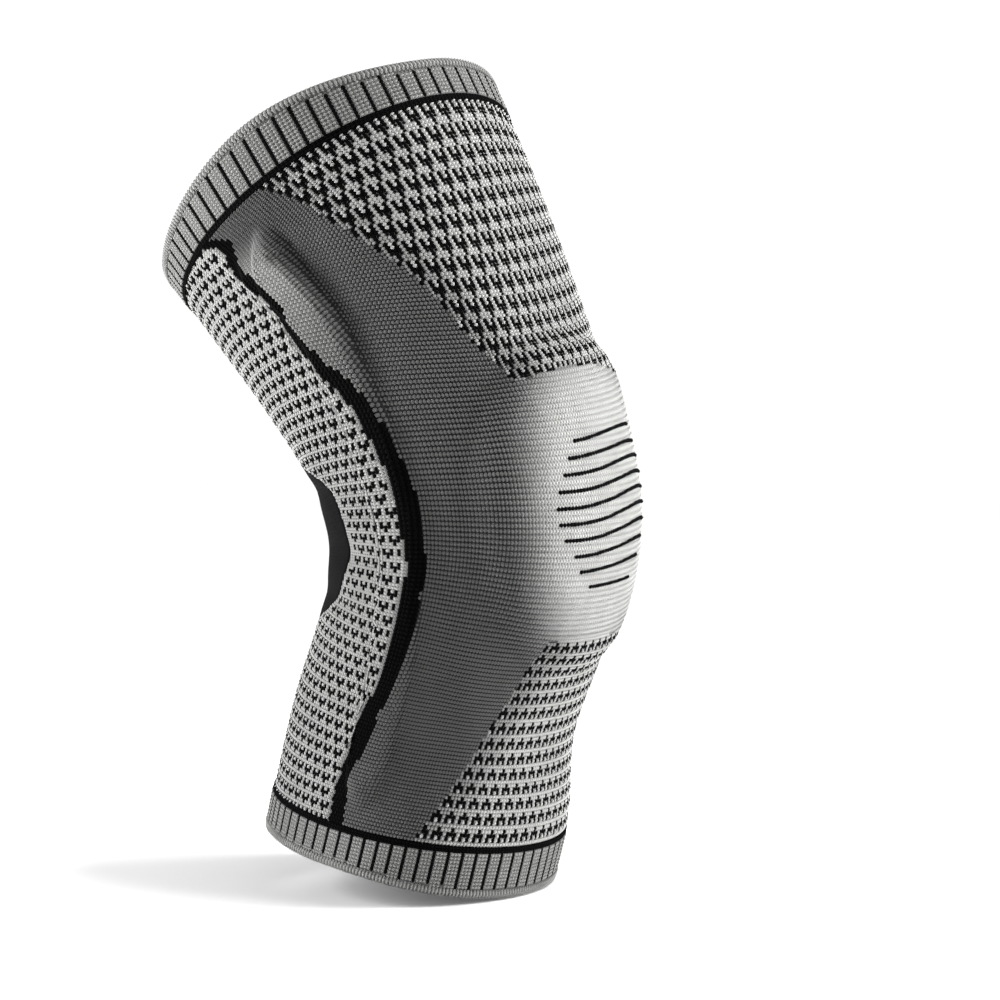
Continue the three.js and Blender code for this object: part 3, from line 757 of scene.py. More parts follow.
# %% Geometry Nodes tree that knits a zone
def add_loops(tree, start, spots, number, name):
    """Lays the loops of one yarn, and gives back their geometry."""
    yarn, shape, turn, scale = spots
    is_yarn = {2: yarn, 3: number}
    chosen = grow(tree, "FunctionNodeCompare", is_yarn, data_type="INT", operation="EQUAL")
    laid = grow(tree, "GeometryNodeInstanceOnPoints", {
        "Points": start.outputs["Geometry"], "Selection": chosen.outputs[0],
        "Instance": shape, "Rotation": turn, "Scale": scale})
    real = grow(tree, "GeometryNodeRealizeInstances", {0: laid.outputs[0]})
    return grow(tree, "GeometryNodeSetMaterial", {
        "Geometry": real.outputs[0], "Material": start.outputs[name]}).outputs[0]


def knitting_tree():
    tree = bpy.data.node_groups.new("knitted zone", "GeometryNodeTree")
    face = tree.interface
    face.new_socket("Geometry", in_out="INPUT", socket_type="NodeSocketGeometry")
    face.new_socket("Loop", in_out="INPUT", socket_type="NodeSocketObject")
    face.new_socket("Loop rise", in_out="INPUT", socket_type="NodeSocketFloat")
    face.new_socket("First yarn", in_out="INPUT", socket_type="NodeSocketMaterial")
    face.new_socket("Second yarn", in_out="INPUT", socket_type="NodeSocketMaterial")
    face.new_socket("Geometry", in_out="OUTPUT", socket_type="NodeSocketGeometry")
    start = grow(tree, "NodeGroupInput")
    kinds = {"yarn": "INT", "along": "FLOAT_VECTOR", "outward": "FLOAT_VECTOR", "size": "FLOAT_VECTOR"}
    read = {}
    for name, kind in kinds.items():
        node = grow(tree, "GeometryNodeInputNamedAttribute", {"Name": name}, data_type=kind)
        read[name] = node.outputs[0]
    turn = grow(tree, "FunctionNodeAxesToRotation", {
        "Primary Axis": read["outward"], "Secondary Axis": read["along"]},
        primary_axis="Z", secondary_axis="Y").outputs[0]
    tall = grow(tree, "ShaderNodeCombineXYZ", {0: 1.0, 1: 1.0, 2: start.outputs["Loop rise"]})
    sizes = {0: read["size"], 1: tall.outputs[0]}
    scale = grow(tree, "ShaderNodeVectorMath", sizes, operation="MULTIPLY").outputs[0]
    shape = grow(tree, "GeometryNodeObjectInfo", {"Object": start.outputs["Loop"]})
    not_wall = {2: read["yarn"], 3: 0}
    is_loop = grow(tree, "FunctionNodeCompare", not_wall, data_type="INT", operation="GREATER_THAN")
    wall = grow(tree, "GeometryNodeDeleteGeometry", {
        "Geometry": start.outputs["Geometry"], "Selection": is_loop.outputs[0]})
    join = grow(tree, "GeometryNodeJoinGeometry", {0: wall.outputs[0]})
    spots = (read["yarn"], shape.outputs["Geometry"], turn, scale)
    for number, name in ((1, "First yarn"), (2, "Second yarn")):
        tree.links.new(add_loops(tree, start, spots, number, name), join.inputs[0])
    grow(tree, "NodeGroupOutput", {0: join.outputs[0]})
    return tree


KNITTING = knitting_tree()
SOCKETS = {s.name: s.identifier for s in KNITTING.interface.items_tree if s.in_out == "INPUT"}
print("inputs of the tree:", list(SOCKETS))


# %% Where the loops of a chart lie
def loops_at(w, levels, level_of=course_level, deep=GROUND_DEPTH):
    """Place, directions and size of loops on wale angles w, between lower and upper levels."""
    low, high = levels

    def at(dw, ds):
        u, v = knit_place(w + dw * WALE, low + (high - low) * (0.5 + ds), level_of)
        return skin(u, v, deep)
    across = at(0.5, 0) - at(-0.5, 0)
    along = at(0, 0.5) - at(0, -0.5)
    outward = np.cross(along, across)
    outward /= np.linalg.norm(outward, axis=-1, keepdims=True)
    wide = np.linalg.norm(across, axis=-1)
    long = np.linalg.norm(along, axis=-1)
    size = np.stack([wide, long, np.ones(len(w))], -1)
    return {"point": at(0, 0), "along": along / long[:, None], "outward": outward, "size": size}


def ring_loops(u, v, deep, width, height, rise, lean=0.5):
    """Loops at plain angles and levels, for the ribs, bands and cuffs."""
    across = skin(u + WALE / 2, v, deep) - skin(u - WALE / 2, v, deep)
    along = skin(u, v + lean, deep) - skin(u, v - lean, deep)
    outward = np.cross(along, across)
    outward /= np.linalg.norm(outward, axis=-1, keepdims=True)
    along /= np.linalg.norm(along, axis=-1, keepdims=True)
    wide = np.linalg.norm(across, axis=-1) * width
    size = np.stack([wide, np.broadcast_to(height, u.shape), np.full(len(u), rise)], -1)
    point = skin(u, v, deep)
    return {"point": point, "along": along, "outward": outward, "size": size, "tone": np.zeros(len(u))}


print("a wale across the thigh rim is", round(WALE * float(degree_length(90, BODY_TOP)), 2), "mm")


# %% Chart of a piece
def chart_mesh(name, wall, loops, ground):
    """Mesh of a wall and loose points, which say what loop each of them gets."""
    points, faces, smooth, places, tones = wall
    before = len(points)
    blank = np.zeros((before, 3))

    def column(key, start):
        return np.concatenate([start] + [x[key] for x in loops])

    yarns = [np.full(len(x["point"]), x["yarn"]) for x in loops]
    mesh = bpy.data.meshes.new(name)
    mesh.from_pydata((column("point", points) * MM).tolist(), [], faces.tolist())
    mesh.polygons.foreach_set("use_smooth", smooth)
    layer = mesh.uv_layers.new(name="knit")
    corners = np.zeros(len(mesh.loops), np.int32)
    mesh.loops.foreach_get("vertex_index", corners)
    layer.data.foreach_set("uv", places[corners].reshape(-1).astype(np.float32))
    mesh.materials.append(ground)
    columns = {
        "yarn": ("INT", "value", np.concatenate([np.zeros(before)] + yarns).astype(np.int32)),
        "tone": ("FLOAT", "value", column("tone", tones)),
        "along": ("FLOAT_VECTOR", "vector", column("along", blank)),
        "outward": ("FLOAT_VECTOR", "vector", column("outward", blank)),
        "size": ("FLOAT_VECTOR", "vector", column("size", blank) * [MM, MM, 1]),
    }
    for key, (kind, word, values) in columns.items():
        flat = values.reshape(-1)
        attribute = mesh.attributes.new(key, kind, "POINT")
        attribute.data.foreach_set(word, flat if kind == "INT" else flat.astype(np.float32))
    return mesh


print("each point of a chart carries its yarn, tone, directions and size")

# %% From chart to piece
TALLY = {}


def settle(chart, name, node):
    """Turns a chart with its live tree into a plain piece that rides on the body."""
    depsgraph = bpy.context.evaluated_depsgraph_get()
    mesh = bpy.data.meshes.new_from_object(chart.evaluated_get(depsgraph), depsgraph=depsgraph)
    bpy.data.objects.remove(chart)
    for key in ("yarn", "along", "outward", "size"):
        if key in mesh.attributes:
            mesh.attributes.remove(mesh.attributes[key])
    mesh.name = name
    return mount(mesh, name, node)


def mount(mesh, name, node):
    """Lets a finished mesh stand for its solid."""
    piece = bpy.data.objects.new(name, mesh)
    bpy.context.scene.collection.objects.link(piece)
    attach(piece, "root")
    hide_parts(node)
    TALLY[name] = sum(len(p.vertices) - 2 for p in mesh.polygons)
    print(name, "triangles", TALLY[name])
    return piece


def knit(name, node, wall, loops, rise, ground, first, second=None):
    """Makes one piece from its wall and its loops."""
    loops = [x for x in loops if len(x["point"])]
    chart = bpy.data.objects.new(name + "_chart", chart_mesh(name + "_chart", wall, loops, ground))
    bpy.context.scene.collection.objects.link(chart)
    modifier = chart.modifiers.new("knit", "NODES")
    modifier.node_group = KNITTING
    modifier[SOCKETS["Loop"]] = LOOP
    modifier[SOCKETS["Loop rise"]] = rise * MM
    modifier[SOCKETS["First yarn"]] = first
    modifier[SOCKETS["Second yarn"]] = second or first
    return settle(chart, name, node)


# %% [markdown]
# A machine knitter draws a figure as a chart, one square to a loop. These repeats are four wales
# wide: a fork on the thigh, an arch on the shin and a hook behind. A hash is a black loop, a plus a
# small black one, a dot a light one and an o a light one that is pushed out. Each block of rows is
# moved by half a repeat, as bricks are.

# %% Charts, from the thigh downwards
FORK = ["#o#.", "#o#.", "###.", "+#+.", ".#..", ".+.."]
ARCH = [".#..", "###.", "#o#.", "...."]
HOOK = ["#o#.", "###.", ".#..", "...."]
# Middle level of each row of figures where the courses are lowest
FORK_ROWS = [
    128.4, 120, 112.3, 104.5, 96.8, 89.2, 81.8, 74.5, 67.3, 60.3, 53.8, 48, 43, 38.6, 34.2]
ARCH_ROWS = [
    -26.5, -31, -35.3, -40, -44.6, -50, -55.6, -61.6, -67.4, -73, -78.6, -83.9, -89.2, -94.8, -101.3]


def row_courses(middles, rows):
    """Levels of the course lines of stacked rows of figures, from their middles."""
    spots = np.arange(len(middles)) + 0.5
    lines = np.arange(len(middles) * rows + 1) / rows
    ends = [middles[0] * 1.5 - middles[1] * 0.5, middles[-1] * 1.5 - middles[-2] * 0.5]
    return np.interp(lines, [0, *spots, len(middles)], [ends[0], *middles, ends[1]])


def drawn(chart, wale, row):
    """Letter of the chart at a wale and a row counted down from a band."""
    block = row // len(chart)
    letters = np.array([list(line) for line in chart])
    return letters[row % len(chart), (wale + 2 * (block % 2)) % 4]


print("rows of figures on the thigh and the shin:", len(FORK_ROWS), len(ARCH_ROWS))


# %% Loops inside a zone
def kept_cells(lines, inside, level_of=course_level):
    """Wale, row, loops, angle and length of the loops between course lines inside a zone."""
    grid = np.meshgrid(np.arange(NEEDLES), np.arange(len(lines) - 1))
    wale, row = [x.reshape(-1) for x in grid]
    low = np.minimum(lines[:-1], lines[1:])[row]
    high = np.maximum(lines[:-1], lines[1:])[row]
    w = (wale + 0.5) * WALE - 180
    u, v = knit_place(w, (low + high) / 2, level_of)
    keep = inside(u, v)
    wale, row, w, low, high, u, v = [x[keep] for x in (wale, row, w, low, high, u, v)]
    return wale, row, loops_at(w, (low, high), level_of), u, v


def pick(loops, mask, yarn, tone, width=1.0, height=1.0, rise=1.0):
    """Some of the loops, with their yarn, tone and stretch."""
    chosen = {key: value[mask] for key, value in loops.items()}
    chosen["yarn"] = yarn
    chosen["tone"] = np.broadcast_to(tone, mask.shape)[mask].astype(float)
    factors = [np.broadcast_to(x, mask.shape)[mask] for x in (width, height, rise)]
    chosen["size"] = chosen["size"] * np.stack(factors, -1)
    return chosen


def figured(loops, letters, tone, light_size=1.0):
    """Loops of a charted zone: plain, raised in a figure, black and small black."""
    return [
        pick(loops, letters == ".", 1, tone, 1.1 * light_size, 1.16 * light_size, 0.8),
        pick(loops, letters == "o", 1, 1.0, 1.1, 1.2, 1.7),
        pick(loops, letters == "#", 2, 0.0, 1.04, 1.26, 0.95),
        pick(loops, letters == "+", 2, 0.0, 0.8, 0.7, 0.8),
    ]


print("yarn 1 is the light one of a zone, yarn 2 the black one")

# %% [markdown]
# The front zones cover the thigh and the shin. Near the sides their loops shrink and more of the
# dark ground shows between them, as in stretched knit, and the light yarn is painted greyer there:
# painted shade, as the light falls off towards the sides.

# %% Front zones
# How far the loops of the zones in front and beside stand over their walls, in millimetres
ZONE_RISE = 0.5
DENSE_EDGE = 16
# Tone of the light loops at a front zone's side, greyer as painted shade
EDGE_SHADED_TONE = 0.35
EDGE_SIZE = 0.84
SEAM_LAP = 0.4


def in_front(u, v):
    return folded(u) < front_border(v)


def in_body(v):
    return (v > BODY_BOTTOM - SEAM_LAP) & (v < BODY_TOP + SEAM_LAP)


def zone_edge(u, v, level, rise):
    """How far above a front zone's edge, which rises in the middle, a place lies."""
    share = np.clip(folded(u) / front_border(v), 0, 1)
    return v - level - rise * (1 - share ** 2)


def above_kneecap(u, v):
    return zone_edge(u, v, PATELLA_CEILING, CEILING_RISE) > 0


def below_kneecap(u, v):
    return zone_edge(u, v, PATELLA_FLOOR, FLOOR_RISE) < 0


def edge_stretch_and_shade(u, v):
    """1 in a front zone's middle, lower at its sides: more black there, and painted shade."""
    room = (front_border(v) - folded(u)) * degree_length(u, v)
    return 1 - fall(room / DENSE_EDGE)


def front_zone(name, chart, middles, beyond, grid):
    """A light zone with black figures from a chart."""
    lines = row_courses(middles, len(chart))
    wale, row, loops, u, v = kept_cells(
        lines, lambda u, v: in_front(u, v) & beyond(u, v) & in_body(v))
    letters = drawn(chart, wale, row)
    shade = edge_stretch_and_shade(u, v)
    # Painted shade: the light loops grow greyer towards the zone's sides.
    tone = blend_of(EDGE_SHADED_TONE, 1, shade)
    parts = figured(loops, letters, tone, blend_of(EDGE_SIZE, 1, shade))
    # The wall is darker than its loops as painted shade, and darker still towards the sides.
    wall = wall_parts(*grid, tone=lambda u, v: np.clip(edge_stretch_and_shade(u, v) + 0.15, 0, 1))
    knit(name + "_knit", name,
         wall, parts, ZONE_RISE, LIGHT_GROUND_IN_PAINTED_SHADE, LIGHT_YARN, BLACK_YARN)


front_zone("thigh_panel", FORK, FORK_ROWS, above_kneecap,
           front_grid(PATELLA_CEILING, BODY_TOP, CEILING_RISE, 0, 56, 64))
front_zone("shin_panel", ARCH, ARCH_ROWS, below_kneecap,
           front_grid(BODY_BOTTOM, PATELLA_FLOOR, 0, FLOOR_RISE, 44, 44))

# %% [markdown]
# Over the kneecap the same grey mesh is stretched until it looks pale and smooth. Its loops lie
# closer and flatter there. Ten short black ribs cross it, each a row of long loops that dips and
# rises with the courses. They stand proud, so they are loops and not paint.

# %% Kneecap zone with its black ribs
MESH_LINES = np.linspace(BODY_BOTTOM, BODY_TOP, 168)
RIB_GAP = 3.83
RIB_TOP = 20.2
RIB_ENDS = [18.7, 21.8, 24.4, 27.1, 28.5, 27.9, 24.9, 21.4, 17.8, 12.7]
RIB_LIFTS = [4.3, 4.0, 4.3, 4.3, 4.5, 4.6, 4.4, 3.9, 3.3, 2.1]
RIB_LIFT_START = 22
RIB_LIFT_SPAN = 44
RIB_THICK = 1.6
# Share of a stay's pucker by which the mesh over it is paled: a painted highlight, as it faces the light
POCKET_HIGHLIGHT = 0.5


def rib_loops():
    angles, levels = [], []
    for i, (end, lift) in enumerate(zip(RIB_ENDS, RIB_LIFTS)):
        steps = np.arange(-end + WALE / 2, end, WALE)
        climb = 1 - fall((RIB_LIFT_START - steps) / RIB_LIFT_SPAN)
        angles.append(steps)
        levels.append(RIB_TOP - RIB_GAP * i + lift * climb)
    u, v = np.concatenate(angles), np.concatenate(levels)
    return dict(ring_loops(u, v, GROUND_DEPTH, 1.4, RIB_THICK, 1.4, lean=0.3), yarn=2)


def kneecap_tone_and_pocket_highlight(u, v):
    """Tone of the mesh: pale over the kneecap, a painted highlight over a stay's top end."""
    # Painted highlight: the mesh over a stay's puckered top end is paler, as it faces the light.
    return np.maximum(tone_of(u, v), POCKET_HIGHLIGHT * pocket_rise(folded(u), v) / POCKET_RISE)


def beads(loops, tone):
    """Mesh loops, closer and flatter where the tone is high: pale kneecap and painted highlight."""
    every = np.ones(len(tone), bool)
    return pick(loops, every, 1, tone, 0.9 + 0.14 * tone, 0.8 + 0.36 * tone, 1 - 0.62 * tone)


def in_patella(u, v):
    return in_front(u, v) & ~above_kneecap(u, v) & ~below_kneecap(u, v)


patella_wall = wall_parts(
    *front_grid(PATELLA_FLOOR, PATELLA_CEILING, FLOOR_RISE, CEILING_RISE, 44, 44))
_, _, loops, u, v = kept_cells(MESH_LINES, in_patella)
knit("patella_panel_knit", "patella_panel", patella_wall,
     [beads(loops, tone_of(u, v)), rib_loops()], ZONE_RISE, MESH_GROUND_DARK_AND_SHADED, MESH_YARN, BLACK_YARN)

# %% [markdown]
# The sides are grey mesh: rows of small beads with dark gaps, which let air through on the real
# sleeve. Real holes would be far below what the render shows, so the gaps are dark ground: dark
# plaited yarn, painted darker still as the shade in the holes. Behind the mesh runs a black stripe
# whose edge steps from wale to wale, because a knitted line can't cut across a loop.

# %% Mesh sides and black stripes
def signed(u):
    return (np.asarray(u, float) + 180) % 360 - 180


def on_side(u, v, side):
    """True in the body of one side, 1 for the right and -1 for the left."""
    return in_body(v) & (signed(u) * side > 0)


def in_mesh(u, v):
    return (folded(u) >= front_border(v)) & (folded(u) <= stripe_front(v))


def in_stripe(u, v):
    return (folded(u) > stripe_front(v)) & (folded(u) < stripe_back(v))


def side_wall(side, start, end, columns, rows=130):
    u, v = strip_grid(np.linspace(BODY_BOTTOM, BODY_TOP, rows + 1), start, end, columns)
    if side < 0:
        u, v = -u[:, ::-1], v[:, ::-1]
    return wall_parts(u, v, tone=kneecap_tone_and_pocket_highlight)


def mesh_side(side, word):
    wall = side_wall(side, front_border, stripe_front, 24)
    _, _, loops, u, v = kept_cells(MESH_LINES, lambda u, v: in_mesh(u, v) & on_side(u, v, side))
    mesh_loops = beads(loops, kneecap_tone_and_pocket_highlight(u, v))
    knit(f"side_panel_{word}_knit", f"side_panel_{word}",
         wall, [mesh_loops], ZONE_RISE, MESH_GROUND_DARK_AND_SHADED, MESH_YARN)


def stripe(side, word):
    wall = side_wall(side, stripe_front, stripe_back, 4)
    _, _, loops, u, v = kept_cells(MESH_LINES, lambda u, v: in_stripe(u, v) & on_side(u, v, side))
    cords = pick(loops, np.ones(len(u), bool), 1, 0.0, 1.15, 1.25, 1.1)
    knit(f"side_stripe_{word}_knit", f"side_stripe_{word}",
         wall, [cords], ZONE_RISE, BLACK_GROUND, BLACK_YARN)


for side, word in ((1, "right"), (-1, "left")):
    mesh_side(side, word)
    stripe(side, word)

# %% [markdown]
# The back is light knit with small hooks, in rows that crowd together in the bend. A strip without
# figures follows the stripe and the oval. The zone is two pieces, right and left, so that each stays
# small enough to export whole.

# %% Grid of the back zone, round the dark oval
STRIP_WIDTH = 1.2
OVAL_MARGIN = 2.2
# Gap in degrees between the loops and the oval's edge
OVAL_GAP = 0.4
HOOK_THIGH = 5.6
HOOK_KNEE = 4.5
HOOK_CALF = 5.0
HOOK_START = -8.0
# Length from the knee over which the rows open up
HOOK_SPREAD = 50


def back_levels():
    """Levels of the wall's rows, which follow the oval's curve beside it."""
    oval = HOLLOW_HEIGHT * np.sin(np.radians(np.linspace(-90, 90, 41)))
    below = np.linspace(BODY_BOTTOM, -HOLLOW_HEIGHT, 31)[:-1]
    above = np.linspace(HOLLOW_HEIGHT, BODY_TOP, 45)[1:]
    return np.concatenate([below, oval, above])


def hook_rows():
    """Middle levels of the hook rows, closest at the knee, with spare rows past both bands."""
    middles = [HOOK_START]
    while middles[-1] < BODY_TOP + 25:
        opened = min(max(middles[-1], 0) / HOOK_SPREAD, 1)
        middles.append(middles[-1] + blend_of(HOOK_KNEE, HOOK_THIGH, opened))
    while middles[0] > BODY_BOTTOM - 20:
        opened = min(-min(middles[0], 0) / HOOK_SPREAD, 1)
        middles.insert(0, middles[0] - blend_of(HOOK_KNEE, HOOK_CALF, opened))
    return middles[::-1]


def in_back(u, v):
    side = folded(u)
    outside = ((180 - side) > hollow_half(v) + OVAL_GAP) | (np.abs(v) > HOLLOW_HEIGHT)
    return (side > stripe_back(v)) & outside & in_body(v)


near = strip_grid(back_levels(), stripe_back, lambda v: 180 - hollow_half(v), 30)
far = (360 - near[0][:, ::-1], near[1][:, ::-1])
print("rows of hooks:", len(hook_rows()))

# %% Back zone
BACK_RISE = 0.45
BACK_TONE = 0.75
STRIP_TONE = 0.15
# Tone of the back's wall, which stays darker than its loops as painted shade between them
BACK_GROUND_TONE = 0.8

wale, row, loops, u, v = kept_cells(row_courses(hook_rows(), len(HOOK)), in_back, back_level)
letters = drawn(HOOK, wale, row)
behind = (folded(u) - stripe_back(v)) * degree_length(u, v)
beside = (180 - folded(u) - hollow_half(v)) * degree_length(u, v)
round_oval = (beside < OVAL_MARGIN) & (np.abs(v) < HOLLOW_HEIGHT)
letters[(behind < STRIP_WIDTH) | round_oval] = "."
shade = np.where(behind < STRIP_WIDTH, STRIP_TONE, BACK_TONE)
for side, word in ((1, "right"), (-1, "left")):
    half = signed(u) * side > 0
    chosen = {key: value[half] for key, value in loops.items()}
    parts = figured(chosen, letters[half], shade[half])
    grid = near if side > 0 else far
    wall = wall_parts(*grid, tone=lambda u, v: np.full(u.shape, BACK_GROUND_TONE))
    knit(f"back_panel_{word}_knit", "back_panel",
         wall, parts, BACK_RISE, LIGHT_GROUND_IN_PAINTED_SHADE, LIGHT_YARN, BLACK_YARN)

# %% [markdown]
# The oval in the hollow of the knee is a fine, smooth knit, so that it doesn't chafe. Its stitches
# are too small to show, and a wall with faint bump is enough.

# %% Dark oval behind the knee
oval_levels = HOLLOW_HEIGHT * np.sin(np.radians(np.linspace(-89.5, 89.5, 61)))
oval_wall = wall_parts(*strip_grid(
    oval_levels, lambda v: 180 - hollow_half(v), lambda v: 180 + hollow_half(v), 70), outer=0.1)
knit("popliteal_panel_knit", "popliteal_panel",
     oval_wall, [], BACK_RISE, DARK_GROUND, BLACK_YARN)

# %% [markdown]
# A narrow black band, a few courses high, ends the zones at each cuff. It runs right round, so its
# wall is a closed hoop: one section swept round the leg, with no seam.

# %% Hoops and black bands
BAND_RISE = 0.4
# Depths of a band's face and edges, and how far its face is rounded
BAND_FACE = -0.15
BAND_EDGE = 0.1
BAND_ROUND = 0.5
WALE_ANGLES = (np.arange(NEEDLES) + 0.5) * WALE - 180


def at_level(level):
    """Function that gives the same level at every angle."""
    return lambda u: np.full(len(u), level)


def swept(points):
    """Faces of a closed ring of sections, from points by section and corner."""
    index = np.arange(points.shape[0] * points.shape[1]).reshape(points.shape[:2])
    after = np.roll(index, -1, 0)
    corners = [index, np.roll(index, -1, 1), np.roll(after, -1, 1), after]
    return np.stack(corners, -1).reshape(-1, 4)


def hoop_parts(level_of, depths, columns=NEEDLES):
    """Closed ring whose section follows pairs of a level function and a depth."""
    u = np.arange(columns) * 360 / columns
    points = np.stack([skin(u, level(u), depth) for level, depth in zip(level_of, depths)], 1)
    quads = swept(points)
    turns = np.repeat(u, len(depths))
    heights = np.stack([level(u) for level in level_of], 1).reshape(-1)
    places = np.stack([turns / WALE, heights / STITCH_UP], -1)
    return points.reshape(-1, 3), quads, np.ones(len(quads), bool), places, np.zeros(len(turns))


def band(name, low, high):
    section = [
        (low, BAND_EDGE), (low + BAND_ROUND, BAND_FACE), (high - BAND_ROUND, BAND_FACE),
        (high, BAND_EDGE), (high, WALL), (low, WALL)]
    wall = hoop_parts([at_level(at) for at, _ in section], [depth for _, depth in section])
    rows = []
    for share in (0.28, 0.72):
        v = np.full(NEEDLES, blend_of(low, high, share))
        rows.append(dict(ring_loops(wale_angle(WALE_ANGLES, v), v, -0.1, 1.1, 1.3, 0.9), yarn=1))
    knit(name + "_knit", name, wall, rows, BAND_RISE, BLACK_GROUND, BLACK_YARN)


band("thigh_band", BODY_TOP, BAND_TOP)
band("calf_band", CALF_BAND, BODY_BOTTOM)

# %% [markdown]
# The cuffs are knitted double, so they are thicker, and the fold at the rim makes a plain rolled
# edge. Every fourth wale is black from the band to the roll. Long loops round the roll show how the
# knit turns over there.

# %% Rims and profile of the cuffs
CUFF_WALL = 3
CUFF_PROUD = 0.6
CUFF_RISE = 0.45
CUFF_FACE = 0.25
CUFF_COURSE = 1.35
CUFF_ROWS = 16
CUFF_COLUMNS = 2 * NEEDLES
ROLL = 4
ROLL_MIDDLE = 2.0
# Height over the band at which the loops of the roll take their angles
ROLL_PLACE = 12.0
# The thigh's rim is highest beside the knee and dips in front, and the calf's rises behind
CROWN = 4.5
CROWN_ANGLE = 78
CROWN_SPAN = 60
FRONT_DIP = 1.8
CALF_RIM_RISE = 3.6
# Down from the rim and depth, from the outer face over the roll to the inner face
ROLL_PROFILE = [
    (3.9, 0), (3.5, 0.22), (2.9, -0.1), (1.9, -0.35), (0.9, -0.1), (0.25, 0.6), (0, 1.4),
    (0.25, 2.1), (1.2, 2.6), (3.4, 2.45)]


def thigh_rim(u):
    crown = CROWN * fall(np.abs(folded(u) - CROWN_ANGLE) / CROWN_SPAN)
    return THIGH_REACH + crown - FRONT_DIP * fall(1 - np.cos(np.radians(u)))


def calf_rim(u):
    return CALF_RIM_RISE * (1 - fall(1 - np.cos(np.radians(u)))) - CALF_REACH


def cuff_wall(seam, rim, way):
    outside = CUFF_FACE - CUFF_PROUD
    inside = CUFF_WALL - CUFF_PROUD
    levels = [at_level(seam)]
    depths = [outside]
    for down, deep in ROLL_PROFILE:
        levels.append(lambda u, down=down: rim(u) - way * down)
        depths.append(deep + outside if deep < inside else inside)
    wall = hoop_parts(levels + [at_level(seam)], depths + [inside], CUFF_COLUMNS)
    if way < 0:
        wall = (wall[0], wall[1][:, ::-1]) + wall[2:]
    return wall


crown_height = float(thigh_rim(CROWN_ANGLE) - BAND_TOP)
print("thigh cuff is", round(crown_height, 1), "mm high at its crown")


# %% Cuffs
def cuff_loops(seam, rim, way):
    """Courses of light loops with every fourth wale black, up to the roll, then the roll's own."""
    number = np.arange(NEEDLES)
    parts = []
    for k in range(CUFF_ROWS):
        level = seam + way * (k + 0.5) * CUFF_COURSE
        u = wale_angle(WALE_ANGLES, np.full(NEEDLES, level))
        room = way * (rim(u) - level)
        black = (number % 4 == 0) & (room > ROLL)
        light = (number % 4 != 0) & (room > ROLL - 0.3)
        for mask, yarn, width, height in ((light, 1, 1.05, 1.3), (black, 2, 0.95, 1.9)):
            v = np.full(mask.sum(), level)
            found = ring_loops(u[mask], v, CUFF_FACE - CUFF_PROUD, width, height, 0.9)
            parts.append(dict(found, yarn=yarn))
    u = wale_angle(WALE_ANGLES, np.full(NEEDLES, seam + way * ROLL_PLACE))
    over = ring_loops(u, rim(u) - way * ROLL_MIDDLE, -CUFF_PROUD - 0.05, 0.8, 3.4, 0.7)
    parts.append(dict(over, yarn=1))
    return parts


def cuff(name, seam, rim, way):
    """Ribbed doubled cuff. Way is 1 on the thigh and -1 on the calf."""
    wall = cuff_wall(seam, rim, way)
    parts = cuff_loops(seam, rim, way)
    knit(name + "_knit", name,
         wall, parts, CUFF_RISE, CUFF_GROUND_IN_PAINTED_SHADE, CUFF_YARN, BLACK_YARN)


cuff("thigh_cuff", BAND_TOP, thigh_rim, 1)
cuff("calf_cuff", CALF_BAND, calf_rim, -1)

# %% [markdown]
# The silicone ring lies inside the wall round the kneecap: a thin flange that thins to its rim, with
# a thick bead round its hole. It is moulded to the knee's curve, so its section is swept round an
# ellipse on the same skin, deeper than the wall.

# %% Kneecap ring
RING_HOLE_HALF_WIDTH = 23
RING_HOLE_HALF_HEIGHT = 30
RING_FLANGE = 2.4
RING_BEAD = 4.4
RING_TOP = WALL + 0.9
RING_STEP = 3.0


def ring_section():
    """Out from the hole as a share of the flange, and depth in millimetres."""
    angles = np.radians(np.arange(0, 181, 15))
    bead = [(0.21 - 0.21 * math.cos(a), RING_BEAD * (0.62 + 0.38 * math.sin(a))) for a in angles]
    face = [
        (0.46, RING_BEAD * 0.58), (0.52, RING_FLANGE * 1.02), (0.7, RING_FLANGE), (0.9, RING_FLANGE)]
    rim = [(0.975, RING_FLANGE * 0.9), (1.0, RING_FLANGE * 0.55), (0.985, RING_FLANGE * 0.15), (0.95, 0)]
    back = [(0.6, 0), (0.2, 0), (0.05, 0.1), (0.0, 0.5)]
    return bead + face + rim + back


turns = np.radians(np.arange(0, 360, RING_STEP))
rings = []
for out, depth in ring_section():
    half_width = blend_of(RING_HOLE_HALF_WIDTH, RING_HALF_WIDTH, out)
    half_height = blend_of(RING_HOLE_HALF_HEIGHT, RING_HALF_HEIGHT, out)
    u = np.degrees(half_width * np.cos(turns) / KNEE_FRONT)
    v = RING_MIDDLE + half_height * np.sin(turns) / KNEE_SPREAD
    rings.append(skin(u, v, RING_TOP + depth))
points = np.stack(rings, 1)
ring_mesh = bpy.data.meshes.new("patella_ring_moulded")
ring_mesh.from_pydata((points.reshape(-1, 3) * MM).tolist(), [], swept(points).tolist())
ring_mesh.shade_smooth()
ring_mesh.materials.append(SILICONE)
mount(ring_mesh, "patella_ring_moulded", "patella_ring")

# %% [markdown]
# A stay is a flexible strip inside its channel, hidden from outside. Its solid already has the right
# shape, so it only gets its metal.

# %% Side stays
for word in ("right", "left"):
    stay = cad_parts[f"side_stay_{word}"]
    stay.data.materials.clear()
    stay.data.materials.append(SPRING_STEEL)

bpy.data.objects.remove(LOOP)
print("triangles in all:", sum(TALLY.values()), "largest:", max(TALLY.values()))

# %% [markdown]
# The set is a pale floor under the sleeve's lower rim, as for a product photograph. The camera
# stands to the right of the kneecap and a little above the knee, which shows one side and the
# edge of the front.

